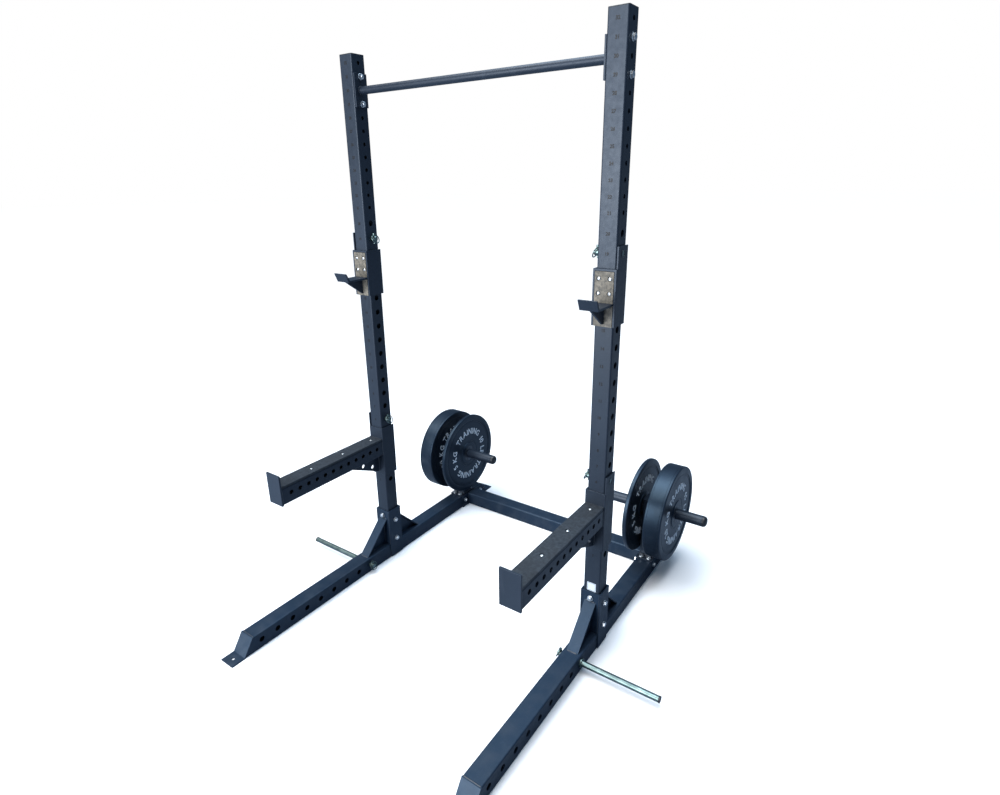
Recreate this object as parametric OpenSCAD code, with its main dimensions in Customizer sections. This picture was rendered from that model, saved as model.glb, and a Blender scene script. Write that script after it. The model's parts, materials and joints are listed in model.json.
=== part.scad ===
// Squat stand with a pull-up bar, swinging J-hooks and spotter arms,
// band pegs and plate storage. Millimetres, +Z up, front towards -Y.
// The origin is on the floor, at the centre of the footprint.

/* [Uprights] */
// Side of the square upright tube
upright_w = 70; // [60:1:90]
// Wall of the upright tube
upright_wall = 4; // [3:0.5:6]
// Length of an upright, from the rail's top face
upright_len = 2228; // [1800:1:2700]
// Distance between the two uprights' centre lines
upright_span = 1155; // [1000:1:1400]
// Outer corner radius of every square tube
tube_corner = 6; // [5:0.5:9]
// Inner corner radius of every square tube
tube_inner_corner = 3; // [1:0.5:4]
// Thickness of the plastic cap on an upright
cap_t = 3; // [2:0.5:6]
// Depth of a cap's plug inside its tube
plug_depth = 20; // [10:1:40]

/* [Adjustment holes] */
// Bore of the large adjustment holes
big_hole_d = 25; // [22:0.5:28]
// Height of the first large hole above the rail's top face
big_first = 359; // [320:1:420]
// Spacing of the large holes
big_pitch = 64.5; // [50:0.5:80]
// Number of large holes
big_count = 20; // [19:1:20]
// Bore of the small holes above them
small_hole_d = 16; // [14:0.5:20]
// Spacing of the small holes
small_pitch = 50; // [40:1:60]
// Least distance from the last small hole to the upright's top
small_margin = 25; // [20:1:40]

/* [Base rails] */
// How much wider a rail is than an upright
rail_over = 6; // [4:1:12]
// Height of a rail
rail_h = 72; // [60:1:90]
// Wall of a rail
rail_wall = 4; // [3:0.5:6]
// Reach of a rail in front of the upright's centre
front_reach = 954; // [780:1:1200]
// Reach of a rail behind the upright's centre
rear_reach = 854; // [700:1:1100]
// Length of the flat toe at each end
toe_len = 58; // [45:1:80]
// Run of the slanted end face
slant_run = 46; // [30:1:70]
// Thickness of the bent end plate
end_plate_t = 5; // [4:0.5:8]
// Bore of the anchor hole in each toe
anchor_d = 13; // [10:0.5:16]
// Distance of the anchor hole from the toe's edge
anchor_inset = 30; // [20:1:34]

/* [Rail holes] */
// Height of the rail's holes above the floor
rail_hole_z = 38.5; // [30:0.5:45]
// Spacing of the rail's holes
rail_hole_pitch = 78; // [65:1:95]
// Distance of the band peg's hole in front of the upright's centre
peg_front = 184; // [150:1:220]
// Least distance of a rail hole from the rail's front edge
rail_hole_inset = 146; // [130:1:180]

/* [Base brackets] */
// Thickness of the bracket's side plates
bracket_t = 5; // [4:0.5:8]
// Thickness of the bracket's front and rear plates
tab_t = 6; // [4:0.5:8]
// Height of the bracket above the rail's top face
bracket_rise = 190; // [175:1:230]
// Gap between a side plate and the floor
bracket_floor_gap = 4; // [2:1:10]
// Width of a strap
strap_w = 50; // [30:1:60]
// Thickness of a strap
strap_t = 6; // [4:0.5:8]
// Length and height of a strap
strap_reach = 146; // [110:1:148]
// Thickness of the web under a strap
strap_web_t = 6; // [4:1:10]
// Height of the lower side bolt above the rail
side_bolt_low = 25; // [18:1:40]
// Height of the upper side bolt above the rail
side_bolt_high = 130; // [100:1:135]
// Height of the front bolt above the rail
tab_bolt_rise = 160; // [160:1:172]

/* [Cross-member] */
// Distance of the cross-member's centre from the rail's rear edge
cross_inset = 203; // [200:1:300]
// Thickness of the cross-member's end flanges
cross_flange_t = 6; // [4:0.5:10]
// Distance between the bolts of an end flange
cross_bolt_gap = 145; // [120:1:160]
// Distance from a flange bolt to the flange's edge
cross_flange_edge = 20; // [15:1:30]
// Height of the flange bolts above the floor
cross_bolt_z = 44; // [30:1:46]

/* [Plate storage] */
// Distance of the storage post in front of the cross-member's centre
post_lead = 39; // [30:1:60]
// Side of the square storage post
post_w = 70; // [60:1:76]
// Height of the post above the horns' axis
post_over = 45; // [35:1:80]
// Thickness of the post's base plate
post_base_t = 6; // [4:0.5:10]
// Length of the post's base plate
post_base_len = 124; // [120:1:140]
// Spacing of the base plate's bolts along the rail
post_bolt_y = 97; // [96:1:110]
// Spacing of the base plate's bolts across the rail
post_bolt_x = 38; // [30:1:38]
// Outer diameter of a storage horn
horn_d = 50; // [40:0.5:50]
// Wall of a horn
horn_wall = 4; // [3:0.5:6]
// Length of the inner horn, from the post's face
horn_len_in = 205; // [150:1:260]
// Length of the outer horn, from the post's face
horn_len_out = 223; // [150:1:300]
// Thickness of the collar at a horn's root
horn_collar_t = 3; // [2:0.5:8]
// Diameter of the collar at a horn's root
horn_collar_d = 68; // [60:1:76]
// Length of a horn's end cap
horn_cap_len = 18; // [10:1:24]
// Radius of a horn cap's rounded rim
horn_cap_round = 15; // [4:0.5:20]

/* [Plates] */
// Diameter of a weight plate
plate_d = 450; // [350:1:560]
// Thickness of the thin plate on the inner horn
thin_t = 20; // [15:1:60]
// Thickness of the thick plate on the outer horn
thick_t = 80; // [40:1:110]
// Gap between a plate's edge and the rail's top face
plate_clear = 38; // [30:1:80]
// Width of a plate's raised rim
plate_rim = 30; // [20:1:40]
// Depth of the recess in a plate's face
plate_recess = 3; // [1:0.5:5]
// Diameter of the raised boss around a plate's bore
plate_boss_d = 130; // [110:1:160]
// Outer diameter of the steel hub ring
hub_d = 86; // [70:1:100]
// Difference between a hub's bore and the horn's diameter
hub_play = 1; // [0.5:0.1:3]
// Radius of a plate's rounded edge
plate_round = 5; // [2:0.5:8]

/* [Pull-up bar] */
// Diameter of the pull-up bar
bar_d = 30; // [25:0.5:42]
// Wall of the pull-up bar
bar_wall = 3; // [2:0.5:5]
// Small hole that the bar lines up with, counted down from the top one
bar_below_top = 2; // [1:1:2]
// Width of the bar's end flange
bar_flange_w = 66; // [56:1:70]
// Height of the bar's end flange beyond each bolt
bar_flange_edge = 12; // [12:1:30]
// Thickness of the bar's end flange
bar_flange_t = 6; // [4:0.5:10]

/* [Sleeves and pins] */
// Thickness of a sleeve's plates
sleeve_t = 5; // [4:0.5:8]
// Outer corner radius of a sleeve
sleeve_corner = 3; // [1:0.5:5]
// Gap between a sleeve's sides and the upright
sleeve_gap = 2; // [1:0.5:4]
// Gap between a sleeve's front plate and the upright
sleeve_stop_gap = 0.3; // [0.2:0.1:1]
// Reach of a sleeve's sides behind the upright's rear face
sleeve_rear = 5; // [2:1:12]
// Height of the outer side plate above the pin's axis
sleeve_ear = 25.5; // [20:0.5:32]
// Difference between the big hole's and the pin's diameters
pin_play = 1; // [0.5:0.1:2]
// Length of a pin's tip beyond the face that it passes through
pin_tip = 26; // [22:1:40]

/* [J-hooks] */
// Large hole that a J-hook hangs in, counted from the bottom
hook_hole = 19; // [17:1:19]
// Room above the hook's front plate for its swing
hook_swing_room = 12.5; // [5:0.5:30]
// Height of the hook's front plate
hook_sleeve_h = 194; // [180:1:240]
// Inset of the liner from the front plate's top edge
liner_inset = 8.5; // [5:0.5:20]
// Width of the liner
liner_w = 68; // [60:1:74]
// Thickness of the liner
liner_t = 8; // [8:0.5:14]
// Gap between the liner and the rim around it
rim_gap = 1.5; // [0.5:0.5:2]
// Height of the rim above the front plate's face
rim_proud = 7; // [3:0.5:7.5]
// Distance from the front plate's top edge to the ledge
ledge_drop = 113.5; // [108:0.5:125]
// Distance of the upper screws from the liner's top edge
screw_inset = 24; // [20:1:30]
// Distance between the two rows of screws
screw_row_gap = 49.5; // [44:0.5:52]
// Distance between the two columns of screws
screw_col_gap = 40; // [34:1:44]
// Width of the ledge and lip
ledge_w = 69; // [60:1:74]
// Thickness of the ledge and lip
ledge_t = 8; // [5:0.5:10]
// Distance from the liner's face to the lip's foot
ledge_len = 98; // [60:1:130]
// Height of the lip above the ledge
lip_h = 29; // [20:1:50]
// Outward lean of the lip
lip_lean = 16; // [5:1:25]
// Thickness of the web under the ledge
web_t = 8; // [5:0.5:12]
// Distance from the web's lower tip to the front plate's lower edge
web_end = 9; // [5:1:20]

/* [Spotter arms] */
// Large hole that a spotter arm hangs in, counted from the bottom
arm_hole = 6; // [4:1:7]
// Room above the arm's front plate for its swing
arm_swing_room = 5.5; // [5:0.5:30]
// Distance from the front plate's top edge to the arm's liner
arm_drop = 53; // [40:1:80]
// Height of the arm's tube
arm_h = 74; // [60:1:90]
// Wall of the arm's tube
arm_wall = 4; // [3:0.5:6]
// Thickness of the arm's liner
arm_liner_t = 10; // [8:0.5:15]
// Reach of the arm's tube in front of the upright's centre
arm_reach = 618; // [450:1:800]
// How much wider the end plate is than the arm
end_over = 5; // [2:1:10]
// Thickness of the arm's end plate
arm_end_t = 8; // [5:0.5:12]
// Height of the end plate above the liner
end_rise = 51; // [30:1:90]
// How far the end plate reaches below the arm
end_below = 2; // [0:1:10]
// Bore of the arm's side holes
arm_hole_d = 20; // [14:1:26]
// Spacing of the arm's side holes
arm_hole_pitch = 45; // [35:1:60]
// Distance of the first side hole in front of the upright's centre
arm_hole_start = 77; // [70:1:100]
// Least distance from the last side hole to the arm's end
arm_hole_end = 46; // [30:1:60]
// Height of the side holes above the tube's middle
arm_hole_rise = 6; // [0:1:12]
// Spacing of the liner's screws
arm_screw_pitch = 178; // [150:1:250]
// Least distance from the last liner screw to the arm's end
arm_screw_end = 150; // [60:1:160]
// Length of the web under the arm
arm_web_len = 210; // [170:1:260]
// Height of the web at the front plate
arm_web_h = 92; // [84:1:130]
// Distance from the web's lower tip to the sleeve's lower edge
arm_web_end = 18; // [10:1:40]

/* [Band pegs] */
// Reach of a band peg from the rail's centre, with its cap
peg_reach = 359; // [200:1:450]
// Diameter of the peg's collar
peg_collar_d = 38; // [32:1:50]
// Thickness of the peg's collar
peg_collar_t = 6; // [4:1:10]
// Thickness of the peg's end cap
peg_cap_t = 1; // [0.5:0.5:4]
// Length of the peg's end cap
peg_cap_len = 6; // [5:1:30]

/* [Fasteners] */
// Diameter of the frame's bolts
bolt_d = 12; // [10:0.5:14]
// Width across flats of a bolt's head and nut
bolt_af = 19; // [17:1:21]
// Height of a bolt's head and nut
bolt_head_h = 8; // [6:0.5:10]
// Diameter of a washer
washer_d = 24; // [22:1:26]
// Thickness of a washer
washer_t = 2; // [1:0.5:3]
// Radial gap around a bolt in its hole
bolt_gap = 0.5; // [0.2:0.1:1]
// Diameter of a liner screw's head
screw_head_d = 13; // [10:0.5:15]
// Height of a liner screw's head
screw_head_h = 3; // [2:0.5:4]
// Diameter of a liner screw's shank
screw_d = 6; // [4:0.5:8]
// Gap around a liner screw's head in its recess
screw_recess_gap = 2; // [1:0.5:3]

/* [Lynch pins] */
// Diameter of a lynch pin
lynch_d = 6; // [5:0.5:8]
// Diameter of its ring, at the wire's centre
lynch_ring_d = 38; // [36:1:46]
// Diameter of the ring's wire
lynch_wire_d = 4; // [3:0.5:5]
// Difference between its hole's and its own diameters
lynch_play = 1; // [0.5:0.1:2]
// Distance from it to the tip of the pin that it locks
lynch_inset = 12; // [9:0.5:13]
// Tilt of its ring from upright, in degrees
lynch_tilt = 24; // [0:1:30]
// Length of its shank below the pin that it locks
lynch_tail = 8; // [4:0.5:12]
// Height of its head
lynch_head_h = 9; // [6:0.5:12]

/* [Hidden] */
$fn = 48;

powder = [0.13, 0.15, 0.19];
black_plastic = [0.06, 0.06, 0.07];
beige_plastic = [0.62, 0.58, 0.48];
zinc = [0.78, 0.8, 0.8];
rubber = [0.05, 0.06, 0.08];

// Small gap between pieces that slide on each other or lie in each other
fit_gap = 0.3;
// Gap around a pin that is held fast in a hole or a cap
snug_gap = 0.1;
// How far a welded web or ear runs into its plate
weld_bite = 1;
// Extra length of a cutter beyond the face that it opens
cut = 1;

// Places along X
xu = upright_span / 2;
half_w = upright_w / 2;
rail_w = upright_w + rail_over;
rail_half = rail_w / 2;

// Places along Y: the footprint's centre is at zero
yu = (front_reach - rear_reach) / 2;
cross_y = yu + rear_reach - cross_inset;
post_y = cross_y - post_lead;
peg_y = yu - peg_front;

// Heights
upright_top = rail_h + upright_len;
big_first_z = rail_h + big_first;
small_first_z = big_first_z + big_count * big_pitch;
small_count = floor((upright_top - small_margin - small_first_z) / small_pitch) + 1;
bar_row = small_count - 1 - bar_below_top;
bar_z = small_first_z + bar_row * small_pitch;
horn_z = rail_h + plate_clear + plate_d / 2;

// Rail ends: the bent plate's thickness measured along Y
slant_rise = rail_h - end_plate_t;
slant_t = end_plate_t * sqrt(slant_run * slant_run + slant_rise * slant_rise) / slant_rise;

// Rail holes, from the peg's hole forwards
rail_hole_count = floor((front_reach - rail_hole_inset - peg_front) / rail_hole_pitch) + 1;

// Sleeves
sleeve_half = half_w + sleeve_gap + sleeve_t;
stop_y = half_w + sleeve_stop_gap;
face_y = stop_y + sleeve_t;
pin_d = big_hole_d - pin_play;

// J-hook, measured from its pin's axis
hook_z = big_first_z + (hook_hole - 1) * big_pitch;
hook_top = -(half_w + hook_swing_room);
hook_bottom = hook_top - hook_sleeve_h;
ledge_top = hook_top - ledge_drop;
ledge_bottom = ledge_top - ledge_t;
liner_top = hook_top - liner_inset;
liner_face = face_y + liner_t;
lip_foot = liner_face + ledge_len;
screw_row_1 = liner_top - screw_inset;
screw_row_2 = screw_row_1 - screw_row_gap;

// Spotter arm, measured from its pin's axis
arm_z = big_first_z + (arm_hole - 1) * big_pitch;
arm_top = -(half_w + arm_swing_room);
arm_liner_top = arm_top - arm_drop;
arm_tube_top = arm_liner_top - arm_liner_t;
arm_tube_bottom = arm_tube_top - arm_h;
arm_web_bottom = arm_tube_bottom - arm_web_h;
arm_bottom = arm_web_bottom - arm_web_end;
arm_hole_count = floor((arm_reach - arm_hole_end - arm_hole_start) / arm_hole_pitch) + 1;
arm_screw_count = floor((arm_reach - arm_screw_end - arm_hole_start) / arm_screw_pitch) + 1;

lynch_r = lynch_ring_d / 2;

// Reads better than a bare repeat: -1 is the left side and 1 the right
SIDES = [-1, 1];

// --- Helpers ---

// Draws a right-hand piece on its side
module on_side(s) {
    if (s > 0) children();
    else mirror([1, 0, 0]) children();
}

// Outline with rounded corners, centred
module round_rect(w, h, r) {
    square([w - 2 * r, h], center = true);
    square([w, h - 2 * r], center = true);
    for (i = SIDES) for (j = SIDES) translate([i * (w / 2 - r), j * (h / 2 - r)]) circle(r = r);
}

// Hollow outline of a square tube, centred
module tube_outline(w, h, wall) {
    difference() {
        round_rect(w, h, tube_corner);
        round_rect(w - 2 * wall, h - 2 * wall, tube_inner_corner);
    }
}

// Rod along X, from x = from to x = to
module rod_x(d, from, to) {
    translate([from, 0, 0]) rotate([0, 90, 0]) cylinder(d = d, h = to - from);
}

// Rod along Y
module rod_y(d, from, to) {
    translate([0, from, 0]) rotate([-90, 0, 0]) cylinder(d = d, h = to - from);
}

// Plate of width w across X, from an outline of [forward, up] points
module side_profile(w, points) {
    translate([-w / 2, 0, 0]) rotate([90, 0, 90]) linear_extrude(w)
        polygon([for (p = points) [-p[0], p[1]]]);
}

// Bolt with washers and nut along Z, its grip from zero to grip
module bolt(grip) {
    hex_d = bolt_af / cos(30);
    tip = 3;
    translate([0, 0, -washer_t - bolt_head_h]) cylinder(d = hex_d, h = bolt_head_h, $fn = 6);
    translate([0, 0, -washer_t]) cylinder(d = washer_d, h = washer_t);
    translate([0, 0, -washer_t]) cylinder(d = bolt_d, h = grip + 2 * washer_t + bolt_head_h + tip);
    translate([0, 0, grip]) cylinder(d = washer_d, h = washer_t);
    translate([0, 0, grip + washer_t]) cylinder(d = hex_d, h = bolt_head_h, $fn = 6);
}

// Bolt along X: its head is on the outer side, at x = outer
module bolt_x(outer, inner) {
    translate([outer, 0, 0]) rotate([0, -90, 0]) bolt(outer - inner);
}

// Hole for a bolt along X
module bolt_hole_x(from, to) {
    rod_x(bolt_d + 2 * bolt_gap, from - cut, to + cut);
}

// --- Base ---

module end_plate_profile(reach) {
    // The bent plate covers the rail's slanted end and lies on the floor
    toe = reach - toe_len;
    top = toe - slant_run;
    heel = toe - slant_t + slant_run * end_plate_t / slant_rise;
    side_profile(rail_w, [
        [top, rail_h], [toe, end_plate_t], [reach, end_plate_t],
        [reach, 0], [heel, 0], [top - slant_t, rail_h]
    ]);
}

module rail_end_cut(reach) {
    // Takes the rail away from behind the bent plate outwards
    toe = reach - toe_len;
    top = toe - slant_run;
    slope = slant_run / slant_rise;
    heel = toe - slant_t + slope * end_plate_t;
    side_profile(rail_w + 2 * cut, [
        [top - slant_t - slope * cut, rail_h + cut], [reach + cut, rail_h + cut],
        [reach + cut, -cut], [heel + slope * cut, -cut]
    ]);
}

module anchor_hole(reach) {
    translate([0, -(reach - anchor_inset), -cut]) cylinder(d = anchor_d, h = end_plate_t + 2 * cut);
}

module rail(s) {
    color(powder) on_side(s) translate([xu, 0, 0]) difference() {
        translate([0, yu + rear_reach, rail_h / 2]) rotate([90, 0, 0])
            linear_extrude(front_reach + rear_reach) tube_outline(rail_w, rail_h, rail_wall);
        translate([0, yu, 0]) rail_end_cut(front_reach);
        translate([0, yu, 0]) mirror([0, 1, 0]) rail_end_cut(rear_reach);
        for (i = [0 : rail_hole_count - 1])
            translate([0, peg_y - i * rail_hole_pitch, rail_hole_z])
                rod_x(big_hole_d, -rail_half - cut, rail_half + cut);
        for (j = SIDES) translate([0, cross_y + j * cross_bolt_gap / 2, cross_bolt_z])
            bolt_hole_x(-rail_half, rail_half);
        for (i = SIDES) for (j = SIDES)
            translate([i * post_bolt_x / 2, post_y + j * post_bolt_y / 2, rail_h - rail_wall - cut])
                cylinder(d = bolt_d + 2 * bolt_gap, h = rail_wall + 2 * cut);
    }
}

module foot_plates() {
    color(powder) for (s = SIDES) on_side(s) translate([xu, yu, 0]) {
        difference() {
            end_plate_profile(front_reach);
            anchor_hole(front_reach);
        }
        mirror([0, 1, 0]) difference() {
            end_plate_profile(rear_reach);
            anchor_hole(rear_reach);
        }
    }
}

module upright(s) {
    color(powder) on_side(s) translate([xu, yu, 0]) difference() {
        translate([0, 0, rail_h]) linear_extrude(upright_len)
            tube_outline(upright_w, upright_w, upright_wall);
        for (i = [0 : big_count - 1]) translate([0, 0, big_first_z + i * big_pitch])
            rod_x(big_hole_d, -half_w - cut, half_w + cut);
        for (i = [0 : small_count - 1]) translate([0, 0, small_first_z + i * small_pitch])
            rod_x(small_hole_d, -half_w - cut, half_w + cut);
        for (rise = [side_bolt_low, side_bolt_high]) translate([0, 0, rail_h + rise])
            bolt_hole_x(-half_w, half_w);
        translate([0, 0, rail_h + tab_bolt_rise])
            rod_y(bolt_d + 2 * bolt_gap, -half_w - cut, half_w + cut);
    }
}

module upright_caps() {
    plug_w = upright_w - 2 * upright_wall - 2 * fit_gap;
    color(black_plastic) for (s = SIDES) on_side(s) translate([xu, yu, upright_top]) {
        linear_extrude(cap_t) round_rect(upright_w, upright_w, tube_corner);
        translate([0, 0, -plug_depth]) linear_extrude(plug_depth)
            round_rect(plug_w, plug_w, tube_inner_corner);
    }
}

module base_brackets() {
    plate_y = upright_w + 2 * tab_t;
    color(powder) for (s = SIDES) on_side(s) translate([xu, yu, 0]) {
        difference() {
            union() {
                for (i = SIDES) translate([i * (rail_half + bracket_t / 2), 0, 0])
                    translate([-bracket_t / 2, -plate_y / 2, bracket_floor_gap])
                        cube([bracket_t, plate_y, rail_h + bracket_rise - bracket_floor_gap]);
                for (j = SIDES) translate([0, j * (half_w + tab_t / 2), 0])
                    translate([-rail_half, -tab_t / 2, rail_h]) cube([rail_w, tab_t, bracket_rise]);
            }
            for (rise = [side_bolt_low, side_bolt_high]) translate([0, 0, rail_h + rise])
                bolt_hole_x(-rail_half - bracket_t, rail_half + bracket_t);
            translate([0, 0, rail_h + tab_bolt_rise])
                rod_y(bolt_d + 2 * bolt_gap, -plate_y / 2 - cut, plate_y / 2 + cut);
        }
    }
}

module base_straps() {
    root = half_w + tab_t;
    slant = strap_t * sqrt(2);
    color(powder) for (s = SIDES) for (j = [0, 1]) on_side(s) translate([xu, yu, rail_h])
        mirror([0, j, 0]) side_profile(strap_w, [
            [root, strap_reach], [root + strap_reach, 0],
            [root + strap_reach - slant, 0], [root, strap_reach - slant]
        ]);
}

// Triangular webs that stand on the rails and fill the corners under the straps
module base_webs() {
    root = half_w + tab_t;
    leg = strap_reach - strap_t * sqrt(2);
    color(powder) for (s = SIDES) for (j = [0, 1]) on_side(s) translate([xu, yu, rail_h])
        mirror([0, j, 0]) side_profile(strap_web_t, [[root, leg], [root + leg, 0], [root, 0]]);
}

module base_bolts() {
    reach = rail_half + bracket_t;
    root = half_w + tab_t;
    color(zinc) for (s = SIDES) on_side(s) translate([xu, yu, rail_h]) {
        for (rise = [side_bolt_low, side_bolt_high]) translate([0, 0, rise]) bolt_x(reach, -reach);
        translate([0, -root, tab_bolt_rise]) rotate([-90, 0, 0]) bolt(2 * root);
    }
}

module cross_member() {
    inner = xu - rail_half;
    flange_len = cross_bolt_gap + 2 * cross_flange_edge;
    color(powder) {
        translate([-(inner - cross_flange_t), cross_y, rail_h / 2]) rotate([90, 0, 90])
            linear_extrude(2 * (inner - cross_flange_t)) tube_outline(rail_w, rail_h, rail_wall);
        for (s = SIDES) on_side(s) difference() {
            translate([inner - cross_flange_t, cross_y - flange_len / 2, 0])
                cube([cross_flange_t, flange_len, rail_h]);
            for (j = SIDES) translate([0, cross_y + j * cross_bolt_gap / 2, cross_bolt_z])
                bolt_hole_x(inner - cross_flange_t, inner);
        }
    }
}

module cross_bolts() {
    color(zinc) for (s = SIDES) on_side(s) for (j = SIDES)
        translate([0, cross_y + j * cross_bolt_gap / 2, cross_bolt_z])
            bolt_x(xu + rail_half, xu - rail_half - cross_flange_t);
}

// --- Plate storage ---

module storage_posts() {
    foot = rail_h + post_base_t;
    lid_t = 4;
    color(powder) for (s = SIDES) on_side(s) translate([xu, post_y, 0]) {
        translate([0, 0, foot]) linear_extrude(horn_z + post_over - lid_t - foot)
            tube_outline(post_w, post_w, upright_wall);
        translate([0, 0, horn_z + post_over - lid_t]) linear_extrude(lid_t)
            round_rect(post_w, post_w, tube_corner);
        difference() {
            translate([-rail_half, -post_base_len / 2, rail_h])
                cube([rail_w, post_base_len, post_base_t]);
            for (i = SIDES) for (j = SIDES)
                translate([i * post_bolt_x / 2, j * post_bolt_y / 2, rail_h - cut])
                    cylinder(d = bolt_d + 2 * bolt_gap, h = post_base_t + 2 * cut);
        }
    }
}

module post_bolts() {
    grip = post_base_t + rail_wall;
    color(zinc) for (s = SIDES) on_side(s) for (i = SIDES) for (j = SIDES)
        translate([xu + i * post_bolt_x / 2, post_y + j * post_bolt_y / 2, rail_h + post_base_t])
            mirror([0, 0, 1]) bolt(grip);
}

// Draws the children at both horns: X runs out along the horn from the post's face
module at_horns() {
    for (s = SIDES) on_side(s) translate([xu, post_y, horn_z]) {
        translate([post_w / 2, 0, 0]) children(0);
        mirror([1, 0, 0]) translate([post_w / 2, 0, 0]) children(1);
    }
}

module horn(len) {
    difference() {
        rod_x(horn_d, 0, len - horn_cap_len);
        rod_x(horn_d - 2 * horn_wall, -cut, len - horn_cap_len + cut);
    }
}

module storage_horns() {
    color(powder) at_horns() {
        horn(horn_len_out);
        horn(horn_len_in);
    }
}

module horn_collar() {
    difference() {
        rod_x(horn_collar_d, 0, horn_collar_t);
        rod_x(horn_d + 2 * fit_gap, -cut, horn_collar_t + cut);
    }
}

module horn_collars() {
    color(powder) at_horns() {
        horn_collar();
        horn_collar();
    }
}

module horn_cap(len) {
    // Domed plastic plug with a rounded rim
    edge = min(horn_cap_round, horn_cap_len - 1);
    r = horn_d / 2;
    translate([len - horn_cap_len, 0, 0]) rotate([0, 90, 0]) {
        rotate_extrude() {
            square([r - edge, horn_cap_len]);
            square([r, horn_cap_len - edge]);
            intersection() {
                translate([r - edge, horn_cap_len - edge]) circle(r = edge);
                square([r, horn_cap_len]);
            }
        }
        translate([0, 0, -plug_depth]) cylinder(d = horn_d - 2 * horn_wall - 2 * fit_gap, h = plug_depth);
    }
}

module horn_caps() {
    color(black_plastic) at_horns() {
        horn_cap(horn_len_out);
        horn_cap(horn_len_in);
    }
}

// --- Plates ---

module plate_outline(t) {
    // Half section of a bumper plate: X is the radius and Y the thickness
    r = plate_d / 2;
    bore = hub_d / 2 + fit_gap / 2;
    e = min(plate_round, t / 4);
    difference() {
        union() {
            translate([bore, 0]) square([r - e - bore, t]);
            translate([bore, e]) square([r - bore, t - 2 * e]);
            for (y = [e, t - e]) translate([r - e, y]) circle(r = e);
        }
        for (y = [-cut, t - plate_recess]) translate([plate_boss_d / 2, y])
            square([r - plate_rim - plate_boss_d / 2, plate_recess + cut]);
    }
}

module on_outer_horn(s) {
    on_side(s) translate([xu + post_w / 2 + horn_collar_t + fit_gap, post_y, horn_z])
        rotate([0, 90, 0]) children();
}

module on_inner_horn(s) {
    on_side(s) translate([xu - post_w / 2 - horn_collar_t - fit_gap, post_y, horn_z])
        rotate([0, -90, 0]) children();
}

module plate(t) {
    color(rubber) rotate_extrude($fn = 96) plate_outline(t);
}

module hub(t) {
    // Steel ring with its bore just over the horn
    color(zinc) difference() {
        cylinder(d = hub_d, h = t);
        translate([0, 0, -cut]) cylinder(d = horn_d + hub_play, h = t + 2 * cut);
    }
}

// --- Pull-up bar ---

module pull_up_bar() {
    inner = xu - half_w - bar_flange_t;
    color(powder) translate([0, yu, bar_z]) difference() {
        rod_x(bar_d, -inner, inner);
        rod_x(bar_d - 2 * bar_wall, -inner - cut, inner + cut);
    }
}

module bar_flanges() {
    h = 2 * small_pitch + 2 * bar_flange_edge;
    color(powder) for (s = SIDES) on_side(s) difference() {
        translate([xu - half_w - bar_flange_t, yu - bar_flange_w / 2, bar_z - h / 2])
            cube([bar_flange_t, bar_flange_w, h]);
        for (k = SIDES) translate([xu - half_w, yu, bar_z + k * small_pitch])
            bolt_hole_x(-bar_flange_t, 0);
    }
}

module bar_bolts() {
    color(zinc) for (s = SIDES) on_side(s) for (k = SIDES)
        translate([xu, yu, bar_z + k * small_pitch]) bolt_x(half_w, -half_w - bar_flange_t);
}

// --- Pins, lynch pins and sleeves ---

// Lynch pin: it passes down through the tip of a pin along X, whose tip points to -X
module lynch_pin() {
    ring_bite = 3;
    shank_bite = 1;
    head_z = lynch_r - ring_bite;
    foot = pin_d / 2 + lynch_tail;
    color(zinc) {
        translate([lynch_inset, 0, -foot]) cylinder(d = lynch_d, h = foot + head_z);
        translate([lynch_inset, 0, head_z - shank_bite]) cylinder(d = 2 * lynch_d, h = lynch_head_h);
        translate([lynch_inset - lynch_r * sin(lynch_tilt), 0, 0]) rotate([0, lynch_tilt, 0])
            rotate([0, 90, 0]) rotate_extrude() translate([lynch_r, 0]) circle(d = lynch_wire_d);
    }
}

// Hole for the lynch pin, seen from the tip of its pin
module lynch_hole() {
    translate([lynch_inset, 0, -pin_d]) cylinder(d = lynch_d + lynch_play, h = 2 * pin_d);
}

// Pin along X from its tip to its root, with a chamfered tip
module tipped_pin(len) {
    chamfer = 3;
    difference() {
        union() {
            rotate([0, 90, 0])
                cylinder(d1 = pin_d - 2 * chamfer, d2 = pin_d, h = chamfer);
            rod_x(pin_d, chamfer, len);
        }
        lynch_hole();
    }
}

// Sleeve around the upright's front and sides, with the pin's ear on the outer side
module sleeve(top, bottom) {
    depth = face_y + half_w + sleeve_rear;
    mid_y = (half_w + sleeve_rear - face_y) / 2;
    color(powder) difference() {
        union() {
            translate([0, 0, bottom]) linear_extrude(top - bottom) difference() {
                translate([0, mid_y]) round_rect(2 * sleeve_half, depth, sleeve_corner);
                translate([-half_w - sleeve_gap, -stop_y])
                    square([upright_w + 2 * sleeve_gap, depth + stop_y]);
            }
            translate([half_w + sleeve_gap, -face_y + sleeve_corner, top - weld_bite])
                cube([sleeve_t, depth - 2 * sleeve_corner, sleeve_ear - top + weld_bite]);
        }
        rod_x(pin_d + 2 * snug_gap, half_w, sleeve_half + cut);
    }
}

module sleeve_pin() {
    tip_x = -half_w - pin_tip;
    color(zinc) translate([tip_x, 0, 0]) tipped_pin(sleeve_half - tip_x);
}

module sleeve_lynch_pin() {
    translate([-half_w - pin_tip, 0, 0]) lynch_pin();
}

// --- J-hooks ---

module at_hook(s) {
    on_side(s) translate([xu, yu, hook_z]) children();
}

module liner_screw_places() {
    for (i = SIDES) for (z = [screw_row_1, screw_row_2])
        translate([i * screw_col_gap / 2, -liner_face, z]) rotate([-90, 0, 0]) children();
}

// Screw whose head's top is at z = 0, pointing to +Z
module liner_screw(len) {
    cylinder(d = screw_head_d, h = screw_head_h);
    cylinder(d = screw_d, h = len);
}

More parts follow.
